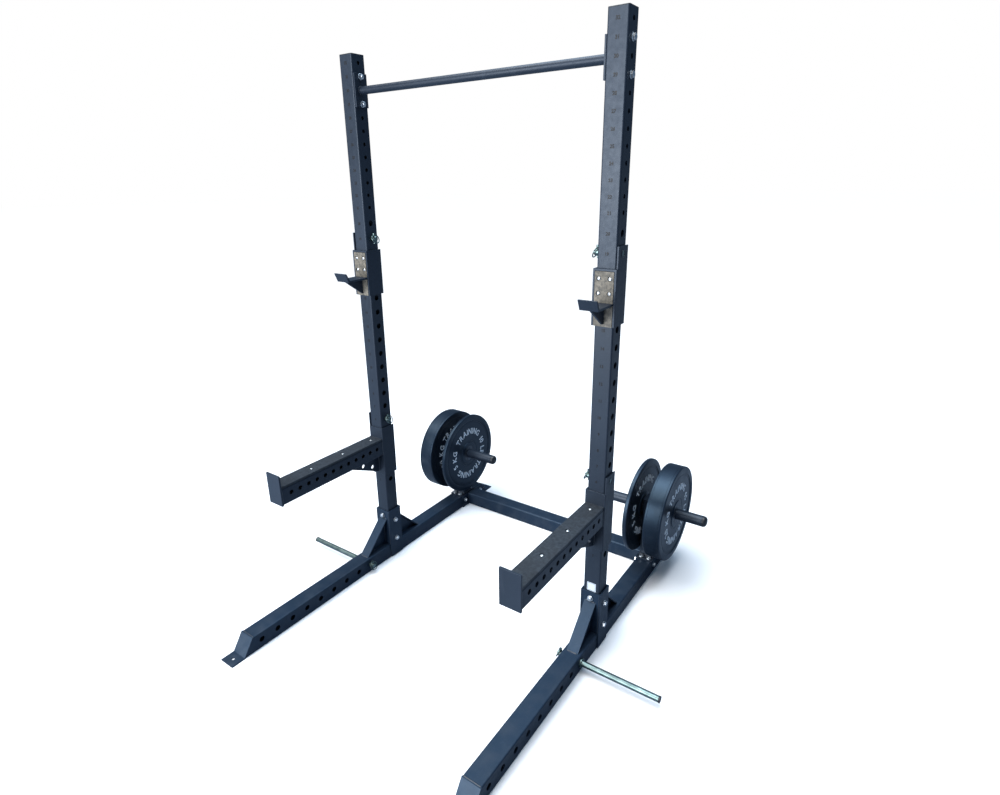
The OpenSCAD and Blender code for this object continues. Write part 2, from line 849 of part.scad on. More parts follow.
// Recess and hole for the screw
module liner_screw_hole(len) {
    translate([0, 0, -cut]) cylinder(d = screw_head_d + 2 * screw_recess_gap, h = screw_head_h + cut);
    cylinder(d = screw_d + 2 * fit_gap, h = len + cut);
}

// Rim on the front plate that frames the liner's sides and top
module liner_rim() {
    inner = liner_w / 2 + rim_gap;
    color(powder) difference() {
        translate([-sleeve_half, -face_y - rim_proud, hook_bottom])
            cube([2 * sleeve_half, rim_proud + weld_bite, hook_top - hook_bottom]);
        translate([-inner, -face_y - rim_proud - cut, hook_bottom - cut])
            cube([2 * inner, rim_proud + cut, liner_top + rim_gap - hook_bottom + cut]);
    }
}

module hook_sleeve(s) {
    at_hook(s) difference() {
        union() {
            sleeve(hook_top, hook_bottom);
            liner_rim();
        }
        liner_screw_places() liner_screw_hole(liner_t + sleeve_t);
    }
}

module hook_liner(s) {
    color(beige_plastic) at_hook(s) difference() {
        translate([-liner_w / 2, -liner_face, hook_bottom])
            cube([liner_w, liner_t, liner_top - hook_bottom]);
        translate([-ledge_w / 2 - cut, -liner_face - cut, ledge_bottom - fit_gap])
            cube([ledge_w + 2 * cut, liner_t + 2 * cut, ledge_t + 2 * fit_gap]);
        translate([-web_t / 2 - fit_gap, -liner_face - cut, hook_bottom + web_end - fit_gap])
            cube([web_t + 2 * fit_gap, liner_t + 2 * cut, ledge_top - hook_bottom - web_end]);
        liner_screw_places() liner_screw_hole(liner_t);
    }
}

module hook_cradle(s) {
    web_tip = hook_bottom + web_end;
    web_foot = 6;
    color(powder) at_hook(s) {
        side_profile(ledge_w, [
            [face_y, ledge_top], [lip_foot, ledge_top],
            [lip_foot + lip_lean, ledge_top + lip_h],
            [lip_foot + lip_lean + ledge_t, ledge_top + lip_h],
            [lip_foot + ledge_t, ledge_bottom], [face_y, ledge_bottom]
        ]);
        side_profile(web_t, [
            [face_y, ledge_bottom + weld_bite], [lip_foot, ledge_bottom + weld_bite],
            [lip_foot, ledge_bottom], [liner_face + web_foot, web_tip], [face_y, web_tip]
        ]);
    }
}

module hook_pin(s) {
    at_hook(s) sleeve_pin();
}

module hook_screws(s) {
    color(zinc) at_hook(s) liner_screw_places() liner_screw(liner_t + sleeve_t);
}

module hook_lynch_pin(s) {
    at_hook(s) sleeve_lynch_pin();
}

// --- Spotter arms ---

module at_arm(s) {
    on_side(s) translate([xu, yu, arm_z]) children();
}

module arm_screw_places() {
    for (i = [0 : arm_screw_count - 1])
        translate([0, -arm_hole_start - i * arm_screw_pitch, arm_liner_top]) mirror([0, 0, 1]) children();
}

module arm_sleeve(s) {
    at_arm(s) sleeve(arm_top, arm_bottom);
}

module arm_tube(s) {
    color(powder) at_arm(s) difference() {
        translate([0, -face_y, arm_tube_bottom + arm_h / 2]) rotate([90, 0, 0])
            linear_extrude(arm_reach - face_y) tube_outline(rail_w, arm_h, arm_wall);
        for (i = [0 : arm_hole_count - 1])
            translate([0, -arm_hole_start - i * arm_hole_pitch, arm_tube_bottom + arm_h / 2 + arm_hole_rise])
                rod_x(arm_hole_d, -rail_half - cut, rail_half + cut);
        arm_screw_places() liner_screw_hole(arm_liner_t + arm_wall);
    }
}

module arm_plates(s) {
    end_w = rail_w + end_over;
    web_foot = 12;
    web_hole_1 = [82, -56];
    web_hole_2 = [140, -30];
    color(powder) at_arm(s) {
        translate([-end_w / 2, -arm_reach - arm_end_t, arm_tube_bottom - end_below])
            cube([end_w, arm_end_t, arm_liner_top + end_rise - arm_tube_bottom + end_below]);
        difference() {
            side_profile(web_t, [
                [face_y, arm_tube_bottom], [face_y + arm_web_len, arm_tube_bottom],
                [face_y + web_foot, arm_web_bottom], [face_y, arm_web_bottom]
            ]);
            for (p = [web_hole_1, web_hole_2]) translate([0, -p[0], arm_tube_bottom + p[1]])
                rod_x(arm_hole_d, -web_t, web_t);
        }
    }
}

module arm_liner(s) {
    color(black_plastic) at_arm(s) difference() {
        translate([-rail_half, -arm_reach, arm_tube_top])
            cube([rail_w, arm_reach - face_y, arm_liner_t]);
        arm_screw_places() liner_screw_hole(arm_liner_t);
    }
}

module arm_pin(s) {
    at_arm(s) sleeve_pin();
}

module arm_screws(s) {
    color(zinc) at_arm(s) arm_screw_places() liner_screw(arm_liner_t + arm_wall);
}

module arm_lynch_pin(s) {
    at_arm(s) sleeve_lynch_pin();
}

// --- Band pegs ---

module at_peg(s) {
    on_side(s) translate([xu, peg_y, rail_hole_z]) children();
}

module band_peg(s) {
    tip_x = -rail_half - pin_tip;
    color(zinc) at_peg(s) {
        translate([tip_x, 0, 0]) tipped_pin(peg_reach - peg_cap_t - tip_x);
        rod_x(peg_collar_d, rail_half + fit_gap, rail_half + fit_gap + peg_collar_t);
    }
}

module peg_cap(s) {
    color(black_plastic) at_peg(s) difference() {
        rod_x(pin_d + 2 * peg_cap_t, peg_reach - peg_cap_len, peg_reach);
        rod_x(pin_d + 2 * snug_gap, peg_reach - peg_cap_len - cut, peg_reach - peg_cap_t);
    }
}

module peg_lynch_pin(s) {
    at_peg(s) translate([-rail_half - pin_tip, 0, 0]) lynch_pin();
}

// --- Parts list ---

rail(-1);  // left_rail
rail(1);  // right_rail
foot_plates();
upright(-1);  // left_upright
upright(1);  // right_upright
upright_caps();
base_brackets();
base_straps();
base_webs();
base_bolts();
cross_member();
cross_bolts();
storage_posts();
post_bolts();
storage_horns();
horn_collars();
horn_caps();
pull_up_bar();
bar_flanges();
bar_bolts();
hook_sleeve(-1);  // left_hook_sleeve
hook_liner(-1);  // left_hook_liner
hook_cradle(-1);  // left_hook_cradle
hook_pin(-1);  // left_hook_pin
hook_screws(-1);  // left_hook_screws
hook_lynch_pin(-1);  // left_hook_lynch_pin
hook_sleeve(1);  // right_hook_sleeve
hook_liner(1);  // right_hook_liner
hook_cradle(1);  // right_hook_cradle
hook_pin(1);  // right_hook_pin
hook_screws(1);  // right_hook_screws
hook_lynch_pin(1);  // right_hook_lynch_pin
arm_sleeve(-1);  // left_arm_sleeve
arm_tube(-1);  // left_arm_tube
arm_plates(-1);  // left_arm_plates
arm_liner(-1);  // left_arm_liner
arm_pin(-1);  // left_arm_pin
arm_screws(-1);  // left_arm_screws
arm_lynch_pin(-1);  // left_arm_lynch_pin
arm_sleeve(1);  // right_arm_sleeve
arm_tube(1);  // right_arm_tube
arm_plates(1);  // right_arm_plates
arm_liner(1);  // right_arm_liner
arm_pin(1);  // right_arm_pin
arm_screws(1);  // right_arm_screws
arm_lynch_pin(1);  // right_arm_lynch_pin
band_peg(-1);  // left_band_peg
peg_cap(-1);  // left_peg_cap
peg_lynch_pin(-1);  // left_peg_lynch_pin
band_peg(1);  // right_band_peg
peg_cap(1);  // right_peg_cap
peg_lynch_pin(1);  // right_peg_lynch_pin
on_inner_horn(-1) plate(thin_t);  // left_thin_plate
on_inner_horn(-1) hub(thin_t);  // left_thin_hub
on_outer_horn(-1) plate(thick_t);  // left_thick_plate
on_outer_horn(-1) hub(thick_t);  // left_thick_hub
on_inner_horn(1) plate(thin_t);  // right_thin_plate
on_inner_horn(1) hub(thin_t);  // right_thin_hub
on_outer_horn(1) plate(thick_t);  // right_thick_plate
on_outer_horn(1) hub(thick_t);  // right_thick_hub
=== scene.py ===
"""Squat stand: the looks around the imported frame. Metres, +Z up, front towards -Y."""
import json
import math

import bmesh
import bpy
from mathutils import Matrix, Vector

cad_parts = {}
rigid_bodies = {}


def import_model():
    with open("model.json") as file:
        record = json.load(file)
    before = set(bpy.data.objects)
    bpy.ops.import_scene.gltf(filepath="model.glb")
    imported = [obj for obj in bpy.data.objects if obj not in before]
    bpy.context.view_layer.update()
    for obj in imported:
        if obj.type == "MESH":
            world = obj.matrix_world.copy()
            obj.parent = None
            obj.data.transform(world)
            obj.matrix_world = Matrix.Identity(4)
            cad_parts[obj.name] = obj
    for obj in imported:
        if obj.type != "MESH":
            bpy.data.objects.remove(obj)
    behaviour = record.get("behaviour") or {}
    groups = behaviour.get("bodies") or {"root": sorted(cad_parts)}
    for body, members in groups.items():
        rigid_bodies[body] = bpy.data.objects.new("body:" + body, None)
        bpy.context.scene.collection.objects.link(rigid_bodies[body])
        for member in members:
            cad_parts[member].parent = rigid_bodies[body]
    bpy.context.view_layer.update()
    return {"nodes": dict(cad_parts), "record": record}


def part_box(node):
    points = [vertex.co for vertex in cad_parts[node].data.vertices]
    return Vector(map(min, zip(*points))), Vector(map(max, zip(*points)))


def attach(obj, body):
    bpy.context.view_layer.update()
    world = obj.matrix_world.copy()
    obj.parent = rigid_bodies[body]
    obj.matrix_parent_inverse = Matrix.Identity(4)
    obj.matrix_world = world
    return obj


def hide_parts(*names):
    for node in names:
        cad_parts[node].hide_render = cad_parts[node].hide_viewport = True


for leftover in list(bpy.data.objects):
    bpy.data.objects.remove(leftover)
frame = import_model()

NODES = frame["nodes"]
RECORD = frame["record"]
BODY_OF = {n: b for b, names in RECORD["behaviour"]["bodies"].items() for n in names}
SLOT_OF = {s["node"]: s["material_slot"] for s in RECORD["subparts"]}
MOUNTS = {m["name"]: m for m in RECORD["mounts"]}
MM = 0.001
SIDES = ("left", "right")
TURN = 2 * math.pi
MERGE = 0.01 * MM


# --- Node materials ---


class Paint:
    """One node material, with a Principled shader that reads the piece's own coordinates."""

    def __init__(self, name, **constants):
        self.material = bpy.data.materials.new(name)
        self.material.use_nodes = True
        self.tree = self.material.node_tree
        self.tree.nodes.clear()
        self.shader = self.add("ShaderNodeBsdfPrincipled")
        out = self.add("ShaderNodeOutputMaterial")
        self.tree.links.new(self.shader.outputs["BSDF"], out.inputs["Surface"])
        self.place = self.add("ShaderNodeTexCoord").outputs["Object"]
        for socket, value in constants.items():
            self.shader.inputs[socket.replace("_", " ")].default_value = value

    def add(self, kind, **settings):
        node = self.tree.nodes.new(kind)
        for key, value in settings.items():
            setattr(node, key, value)
        return node

    def put(self, value, socket):
        """Links a socket, or sets a plain value."""
        if isinstance(value, bpy.types.NodeSocket):
            self.tree.links.new(value, socket)
        elif hasattr(value, "__len__"):
            socket.default_value = (*value, 1.0)
        else:
            socket.default_value = value

    def set(self, socket, value):
        self.put(value, self.shader.inputs[socket])

    def stretched(self, stretch):
        mapping = self.add("ShaderNodeMapping")
        self.put(self.place, mapping.inputs["Vector"])
        mapping.inputs["Scale"].default_value = stretch
        return mapping.outputs["Vector"]

    def noise(self, scale, detail=3.0, stretch=(1, 1, 1), distortion=0.0):
        node = self.add("ShaderNodeTexNoise")
        self.put(self.stretched(stretch), node.inputs["Vector"])
        node.inputs["Scale"].default_value = scale
        node.inputs["Detail"].default_value = detail
        node.inputs["Distortion"].default_value = distortion
        return node.outputs["Fac"]

    def cells(self, scale):
        node = self.add("ShaderNodeTexVoronoi")
        self.put(self.place, node.inputs["Vector"])
        node.inputs["Scale"].default_value = scale
        return node.outputs["Distance"]

    def span(self, value, low, high, to_low=0.0, to_high=1.0):
        """Maps low..high to to_low..to_high, clamped."""
        node = self.add("ShaderNodeMapRange")
        self.put(value, node.inputs["Value"])
        for socket, number in (
            ("From Min", low),
            ("From Max", high),
            ("To Min", to_low),
            ("To Max", to_high),
        ):
            node.inputs[socket].default_value = number
        return node.outputs["Result"]

    def math(self, operation, a, b):
        node = self.add("ShaderNodeMath", operation=operation)
        self.put(a, node.inputs[0])
        self.put(b, node.inputs[1])
        return node.outputs["Value"]

    def mix(self, share, a, b):
        """Colour a where share is 0 and b where it is 1; the node's colours are sockets 6 and 7."""
        node = self.add("ShaderNodeMix", data_type="RGBA")
        self.put(share, node.inputs["Factor"])
        self.put(a, node.inputs[6])
        self.put(b, node.inputs[7])
        return node.outputs[2]

    def axis(self, letter):
        node = self.add("ShaderNodeSeparateXYZ")
        self.put(self.place, node.inputs["Vector"])
        return node.outputs[letter]

    def edges(self, radius, low, high):
        """1 on convex and concave edges, 0 on flat faces."""
        rounded = self.add("ShaderNodeBevel", samples=4)
        rounded.inputs["Radius"].default_value = radius
        plain = self.add("ShaderNodeNewGeometry")
        dot = self.add("ShaderNodeVectorMath", operation="DOT_PRODUCT")
        self.put(rounded.outputs["Normal"], dot.inputs[0])
        self.put(plain.outputs["Normal"], dot.inputs[1])
        return self.span(dot.outputs["Value"], low, high, 1.0, 0.0)

    def bump(self, height, depth, strength):
        """Adds relief of that depth, in metres, on top of what is there."""
        node = self.add("ShaderNodeBump")
        node.inputs["Strength"].default_value = strength
        node.inputs["Distance"].default_value = depth
        self.put(height, node.inputs["Height"])
        before = self.shader.inputs["Normal"].links
        if before:
            self.put(before[0].from_socket, node.inputs["Normal"])
        self.put(node.outputs["Normal"], self.shader.inputs["Normal"])


def powder_coat(name, colour, sheen, dust_top):
    """Satin powder coat: orange peel, cloudy gloss, fine rubs, pale edges and dust near the floor."""
    p = Paint(name, Specular_IOR_Level=0.40, Specular_Tint=(*sheen, 1.0))
    cloud = p.noise(2.6, detail=5.0)
    speck = p.noise(420.0, detail=2.0)
    rubs = p.noise(34.0, detail=6.0, stretch=(1.0, 1.0, 0.12), distortion=0.8)
    tone = p.mix(p.span(cloud, 0.3, 0.7), [c * 0.82 for c in colour], [c * 1.2 for c in colour])
    tone = p.mix(p.span(speck, 0.52, 0.75, 0.0, 0.4), tone, [c * 2.2 for c in colour])
    tone = p.mix(p.span(rubs, 0.6, 0.78, 0.0, 0.10), tone, (0.085, 0.105, 0.135))
    worn = p.math("MULTIPLY", p.edges(1.6 * MM, 0.80, 0.97), p.span(p.noise(26.0), 0.42, 0.66, 0.1, 0.55))
    tone = p.mix(worn, tone, (0.115, 0.145, 0.185))
    low = p.span(p.axis("Z"), 0.0, dust_top, 1.0, 0.0)
    dust = p.math("MULTIPLY", low, p.span(p.noise(17.0, detail=7.0), 0.40, 0.74, 0.0, 0.16))
    tone = p.mix(dust, tone, (0.13, 0.135, 0.14))
    p.set("Base Color", tone)
    gloss = p.math("ADD", p.span(cloud, 0.25, 0.75, 0.36, 0.48), p.math("MULTIPLY", dust, 0.7))
    p.set("Roughness", p.math("ADD", gloss, p.span(p.noise(60.0), 0.3, 0.7, -0.03, 0.05)))
    p.bump(p.noise(560.0, detail=1.5), 0.00009, 0.55)
    p.bump(speck, 0.00005, 0.3)
    return p.material


def zinc(name, bright, dull, roughness, streak):
    """Zinc plating: drawn streaks, faint passivation tints, random specks of grime."""
    p = Paint(name, Metallic=1.0)
    drawn = p.noise(55.0, detail=5.0, stretch=streak)
    clouds = p.noise(38.0, detail=4.0)
    tone = p.mix(p.span(clouds, 0.32, 0.68), bright, dull)
    tone = p.mix(p.span(drawn, 0.45, 0.75, 0.0, 0.5), tone, [c * 0.72 for c in dull])
    tone = p.mix(p.span(p.noise(210.0), 0.66, 0.8, 0.0, 0.4), tone, (0.30, 0.28, 0.24))
    p.set("Base Color", tone)
    p.set("Roughness", p.span(drawn, 0.3, 0.75, roughness, roughness + 0.2))
    p.bump(drawn, 0.00012, 0.4)
    p.bump(p.noise(900.0, detail=1.0), 0.00004, 0.4)
    return p.material


def hub_steel():
    """Turned steel ring, dulled, with the lathe's rings round the horn's axis."""
    p = Paint("hub_steel", Metallic=1.0)
    low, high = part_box("left_thin_hub")
    centre = (low + high) / 2
    shift = p.add("ShaderNodeVectorMath", operation="SUBTRACT")
    p.put(p.place, shift.inputs[0])
    shift.inputs[1].default_value = centre
    rings = p.add("ShaderNodeTexWave", wave_type="RINGS", rings_direction="X")
    p.put(shift.outputs["Vector"], rings.inputs["Vector"])
    rings.inputs["Scale"].default_value = 420.0
    rings.inputs["Distortion"].default_value = 0.6
    stain = p.noise(60.0, detail=6.0)
    p.set("Base Color", p.mix(p.span(stain, 0.35, 0.7), (0.105, 0.12, 0.14), (0.05, 0.055, 0.065)))
    p.set("Roughness", p.span(stain, 0.3, 0.7, 0.32, 0.52))
    p.bump(rings.outputs["Fac"], 0.00010, 0.6)
    return p.material


def moulded_rubber():
    """Black crumb rubber with a moulded skin, chalk in its pores and scuffs where it is dropped."""
    p = Paint("plate_rubber", Specular_IOR_Level=0.42, Specular_Tint=(0.46, 0.72, 1.0, 1.0))
    crumb = p.cells(520.0)
    cloud = p.noise(7.0, detail=6.0)
    tone = p.mix(p.span(cloud, 0.3, 0.7), (0.0035, 0.0065, 0.012), (0.008, 0.013, 0.022))
    tone = p.mix(p.span(p.noise(300.0), 0.62, 0.8, 0.0, 0.5), tone, (0.022, 0.032, 0.045))
    pores = p.span(crumb, 0.1, 0.6, 0.05, 0.2)
    chalk = p.math("MULTIPLY", p.span(p.noise(13.0, detail=8.0), 0.56, 0.82), pores)
    tone = p.mix(chalk, tone, (0.12, 0.14, 0.16))
    worn = p.math("MULTIPLY", p.edges(3.0 * MM, 0.86, 0.99), p.span(p.noise(70.0), 0.45, 0.7, 0.0, 0.3))
    tone = p.mix(worn, tone, (0.05, 0.065, 0.08))
    p.set("Base Color", tone)
    p.set("Roughness", p.math("ADD", p.span(cloud, 0.3, 0.7, 0.30, 0.44), p.math("MULTIPLY", chalk, 0.5)))
    p.bump(crumb, 0.00012, 0.35)
    p.bump(p.noise(90.0, detail=4.0), 0.0003, 0.3)
    return p.material


def plastic(name, colour, roughness):
    """Moulded plastic with a fine spark-eroded texture and faint scuffs."""
    p = Paint(name, Specular_IOR_Level=0.45)
    grain = p.noise(1100.0, detail=2.0)
    scuff = p.noise(48.0, detail=7.0, stretch=(1.0, 0.3, 1.0), distortion=1.0)
    tone = p.mix(p.span(grain, 0.3, 0.7), [c * 0.85 for c in colour], [c * 1.2 for c in colour])
    tone = p.mix(p.span(scuff, 0.62, 0.8, 0.0, 0.35), tone, [c * 2.6 + 0.02 for c in colour])
    p.set("Base Color", tone)
    p.set("Roughness", p.span(scuff, 0.3, 0.75, roughness, roughness + 0.14))
    p.bump(grain, 0.00006, 0.5)
    return p.material


def sawn_plastic(name, light, dark, groove):
    """Sheet polyethylene: mottled, with saw marks along one way and rubs from the bar."""
    p = Paint(name, Specular_IOR_Level=0.35)
    mottle = p.noise(85.0, detail=7.0, distortion=0.6)
    blotch = p.noise(16.0, detail=5.0)
    saw = p.noise(260.0, detail=3.0, stretch=groove)
    tone = p.mix(p.span(mottle, 0.36, 0.66), dark, light)
    tone = p.mix(p.span(blotch, 0.4, 0.72, 0.0, 0.55), tone, [c * 0.78 for c in dark])
    tone = p.mix(p.span(saw, 0.55, 0.75, 0.0, 0.25), tone, [c * 1.25 for c in light])
    worn = p.math("MULTIPLY", p.edges(1.5 * MM, 0.8, 0.97), p.span(p.noise(60.0), 0.35, 0.6, 0.1, 0.6))
    tone = p.mix(worn, tone, [min(1.0, c * 1.35) for c in light])
    p.set("Base Color", tone)
    p.set("Roughness", p.span(blotch, 0.3, 0.7, 0.46, 0.66))
    p.bump(saw, 0.00020, 0.5)
    p.bump(mottle, 0.00012, 0.4)
    return p.material


def worn_ink(name, colour, beneath, wear):
    """Printed or painted marks, rubbed thin in places."""
    p = Paint(name, Specular_IOR_Level=0.3)
    rub = p.noise(140.0, detail=8.0)
    cloud = p.noise(9.0, detail=3.0)
    tone = p.mix(p.span(cloud, 0.3, 0.7, 0.0, 0.4), colour, [c * 0.86 for c in colour])
    p.set("Base Color", p.mix(p.span(rub, 0.56, 0.72, 0.0, wear), tone, beneath))
    p.set("Roughness", p.span(rub, 0.3, 0.7, 0.42, 0.6))
    p.bump(rub, 0.00008, 0.4)
    return p.material


def weld_metal():
    """Weld bead under the same coat: a shade smoother, its tone cloudy."""
    p = Paint("weld_bead", Specular_IOR_Level=0.5)
    cloud = p.noise(120.0, detail=4.0)
    p.set("Base Color", p.mix(p.span(cloud, 0.3, 0.7), (0.013, 0.019, 0.029), (0.024, 0.034, 0.048)))
    p.set("Roughness", p.span(cloud, 0.3, 0.7, 0.30, 0.44))
    p.bump(p.noise(700.0, detail=2.0), 0.0001, 0.5)
    return p.material


PALETTE = {
    "frame_paint": powder_coat("frame_paint", (0.0115, 0.0175, 0.028), (0.80, 0.89, 1.0), 0.10),
    "base_paint": powder_coat("base_paint", (0.0085, 0.0175, 0.033), (0.58, 0.78, 1.0), 0.16),
    "black_plastic": plastic("black_plastic", (0.009, 0.011, 0.015), 0.36),
    "beige_liner": sawn_plastic("beige_liner", (0.235, 0.205, 0.16), (0.085, 0.078, 0.064), (1, 1, 0.05)),
    "black_liner": sawn_plastic("black_liner", (0.030, 0.038, 0.048), (0.014, 0.018, 0.024), (1, 0.05, 1)),
    "zinc_fasteners": zinc("zinc_fasteners", (0.80, 0.82, 0.83), (0.55, 0.58, 0.60), 0.24, (1, 1, 1)),
    "zinc_pins": zinc("zinc_pins", (0.19, 0.255, 0.245), (0.10, 0.145, 0.14), 0.26, (0.05, 1, 1)),
    "hub_steel": hub_steel(),
    "plate_rubber": moulded_rubber(),
}
LETTER_PAINT = worn_ink("letter_paint", (0.80, 0.85, 0.90), (0.03, 0.04, 0.055), 0.8)
NUMBER_INK = worn_ink("number_ink", (0.003, 0.003, 0.004), (0.010, 0.014, 0.020), 0.2)
LABEL_PAPER = worn_ink("label_paper", (0.66, 0.72, 0.78), (0.45, 0.50, 0.56), 0.4)
LABEL_PRINT = worn_ink("label_print", (0.035, 0.055, 0.085), (0.3, 0.33, 0.37), 0.4)
WELD = weld_metal()


# --- Building blocks ---


def new_piece(name, bm, material, body, sharp=32.0):
    """Finishes a mesh, gives it its material and lets it ride on its body."""
    bmesh.ops.recalc_face_normals(bm, faces=bm.faces)
    limit = math.radians(sharp)
    for face in bm.faces:
        face.smooth = True
    for edge in bm.edges:
        edge.smooth = len(edge.link_faces) == 2 and edge.calc_face_angle(0.0) < limit
    mesh = bpy.data.meshes.new(name)
    bm.to_mesh(mesh)
    bm.free()
    mesh.materials.append(material)
    piece = bpy.data.objects.new(name, mesh)
    bpy.context.scene.collection.objects.link(piece)
    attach(piece, body)
    return piece


def ring_stack(bm, rings, sides, place, closed=False):
    """Skins (radius, height) rings in order; either may be a function of the angle. Closed makes
    a tube whose last ring meets its first, and otherwise both ends are capped."""
    loops = []
    for radius, height in rings:
        loop = []
        for i in range(sides):
            angle = TURN * i / sides
            r = radius(angle) if callable(radius) else radius
            z = height(angle) if callable(height) else height
            loop.append(bm.verts.new(place @ Vector((r * math.cos(angle), r * math.sin(angle), z))))
        loops.append(loop)
    pairs = list(zip(loops, loops[1:]))
    if closed:
        pairs.append((loops[-1], loops[0]))
    for a, b in pairs:
        for i in range(sides):
            j = (i + 1) % sides
            bm.faces.new((a[i], a[j], b[j], b[i]))
    if not closed:
        bm.faces.new(list(reversed(loops[0])))
        bm.faces.new(loops[-1])


def along(origin, direction):
    """Matrix whose Z axis points that way from origin."""
    return Matrix.Translation(origin) @ Vector(direction).to_track_quat("Z", "Y").to_matrix().to_4x4()


def islands(node):
    """Boxes (low, high) of a CAD node's separate solids."""
    bm = bmesh.new()
    bm.from_mesh(NODES[node].data)
    bmesh.ops.remove_doubles(bm, verts=bm.verts, dist=MERGE)
    seen, boxes = set(), []
    for start in bm.verts:
        if start in seen:
            continue
        seen.add(start)
        stack, low, high = [start], start.co.copy(), start.co.copy()
        while stack:
            vert = stack.pop()
            low = Vector(map(min, low, vert.co))
            high = Vector(map(max, high, vert.co))
            for edge in vert.link_edges:
                other = edge.other_vert(vert)
                if other not in seen:
                    seen.add(other)
                    stack.append(other)
        boxes.append((low, high))
    bm.free()
    return boxes


# --- CAD nodes that stay: their material, and softened edges ---

FLAT_ANGLE = math.radians(0.4)
EDGE_ANGLE = math.radians(34)


def soften(node, width):
    """Rounds a CAD node's sharp edges with modifiers; its own mesh stays as packed."""
    obj = NODES[node]
    mesh = obj.data
    if "custom_normal" in mesh.attributes:
        mesh.attributes.remove(mesh.attributes["custom_normal"])
    mesh.polygons.foreach_set("use_smooth", [True] * len(mesh.polygons))
    weld = obj.modifiers.new("weld", "WELD")
    weld.merge_threshold = MERGE
    flat = obj.modifiers.new("flat", "DECIMATE")
    flat.decimate_type = "DISSOLVE"
    flat.angle_limit = FLAT_ANGLE
    bevel = obj.modifiers.new("bevel", "BEVEL")
    bevel.width = width
    bevel.segments = 2
    bevel.limit_method = "ANGLE"
    bevel.angle_limit = EDGE_ANGLE
    bevel.harden_normals = True
    bevel.use_clamp_overlap = True
    even = obj.modifiers.new("even", "WEIGHTED_NORMAL")
    even.keep_sharp = True


def coat(node, material):
    """Puts one material on the whole of a CAD node."""
    obj = NODES[node]
    obj.data.materials.clear()
    obj.data.materials.append(material)
    for polygon in obj.data.polygons:
        polygon.material_index = 0


# Width of the softened edges by material slot, in millimetres
EDGE = {
    "frame_paint": 0.9,
    "base_paint": 0.9,
    "black_plastic": 0.8,
    "beige_liner": 1.2,
    "black_liner": 1.0,
    "zinc_pins": 0.4,
}
for node in NODES:
    slot = SLOT_OF[node]
    coat(node, PALETTE[slot])
    if slot in EDGE and not node.endswith("lynch_pin"):
        soften(node, EDGE[slot] * MM)


# --- Fasteners ---

HEX_FLATS = 19 * MM
HEX_HEIGHT = 8 * MM
HEX_TOP = 0.94
HEX_SLOPE = math.tan(math.radians(30))
HEX_FOOT = 0.4 * MM
HEAD_MARK_R = 5.6 * MM
WASHER_R = 12 * MM
WASHER_T = 2 * MM
WASHER_EDGE = 0.35 * MM
BOLT_R = 6 * MM
THREAD_PITCH = 1.75 * MM
THREAD_DEPTH = 0.6 * MM
BOLT_TIP = 3 * MM


def hexagon(flats):
    """Radius of a hexagon at an angle."""

    def radius(angle):
        return flats / 2 / math.cos((angle % (TURN / 6)) - TURN / 12)

    return radius


def hex_body(bm, place, under=False):
    """Hexagon whose corners a cone cuts back at the top, and below too on a nut."""
    edge = hexagon(HEX_FLATS)
    inner = HEX_FLATS / 2 * HEX_TOP

    def lower(angle):
        return (edge(angle) - inner) * HEX_SLOPE if under else HEX_FOOT

    def upper(angle):
        return HEX_HEIGHT - (edge(angle) - inner) * HEX_SLOPE

    rings = [(inner if under else edge, 0.0), (edge, lower), (edge, upper), (inner, HEX_HEIGHT)]
    ring_stack(bm, rings, 48, place)


def washer(bm, place):
    """Flat washer with its outer edges taken off."""
    c = WASHER_EDGE
    rings = [
        (BOLT_R, 0.0), (WASHER_R - c, 0.0), (WASHER_R, c),
        (WASHER_R, WASHER_T - c), (WASHER_R - c, WASHER_T), (BOLT_R, WASHER_T),
    ]
    ring_stack(bm, rings, 40, place, closed=True)


def threads(bm, place, start, end):
    """Rod with thread ridges, chamfered at its tip."""
    root = BOLT_R - THREAD_DEPTH
    rings, z = [(root, start)], start
    while z + THREAD_PITCH < end - THREAD_DEPTH:
        rings += [(root, z + 0.2 * THREAD_PITCH), (BOLT_R, z + 0.6 * THREAD_PITCH)]
        z += THREAD_PITCH
    rings += [(root, end - THREAD_DEPTH), (BOLT_R - 2.2 * THREAD_DEPTH, end)]
    ring_stack(bm, rings, 24, place)


def hex_bolt(bm, head, direction, length):
    """Bolt from the top of its head to the tip of its thread."""
    place = along(head, direction)
    grip = length - 2 * HEX_HEIGHT - 2 * WASHER_T - BOLT_TIP
    flip = Matrix.Translation((0, 0, HEX_HEIGHT)) @ Matrix.Rotation(math.pi, 4, "X")
    hex_body(bm, place @ flip)
    mark = [(HEAD_MARK_R, -0.5 * MM), (HEAD_MARK_R, 0.0), (HEAD_MARK_R - 0.4 * MM, 0.25 * MM)]
    ring_stack(bm, mark, 32, place @ Matrix.Rotation(math.pi, 4, "X"))
    washer(bm, place @ Matrix.Translation((0, 0, HEX_HEIGHT)))
    shank = [(BOLT_R, HEX_HEIGHT), (BOLT_R, HEX_HEIGHT + 2 * WASHER_T + grip)]
    ring_stack(bm, shank, 24, place)
    far = HEX_HEIGHT + WASHER_T + grip
    washer(bm, place @ Matrix.Translation((0, 0, far)))
    hex_body(bm, place @ Matrix.Translation((0, 0, far + WASHER_T)), under=True)
    threads(bm, place, far + WASHER_T, length)


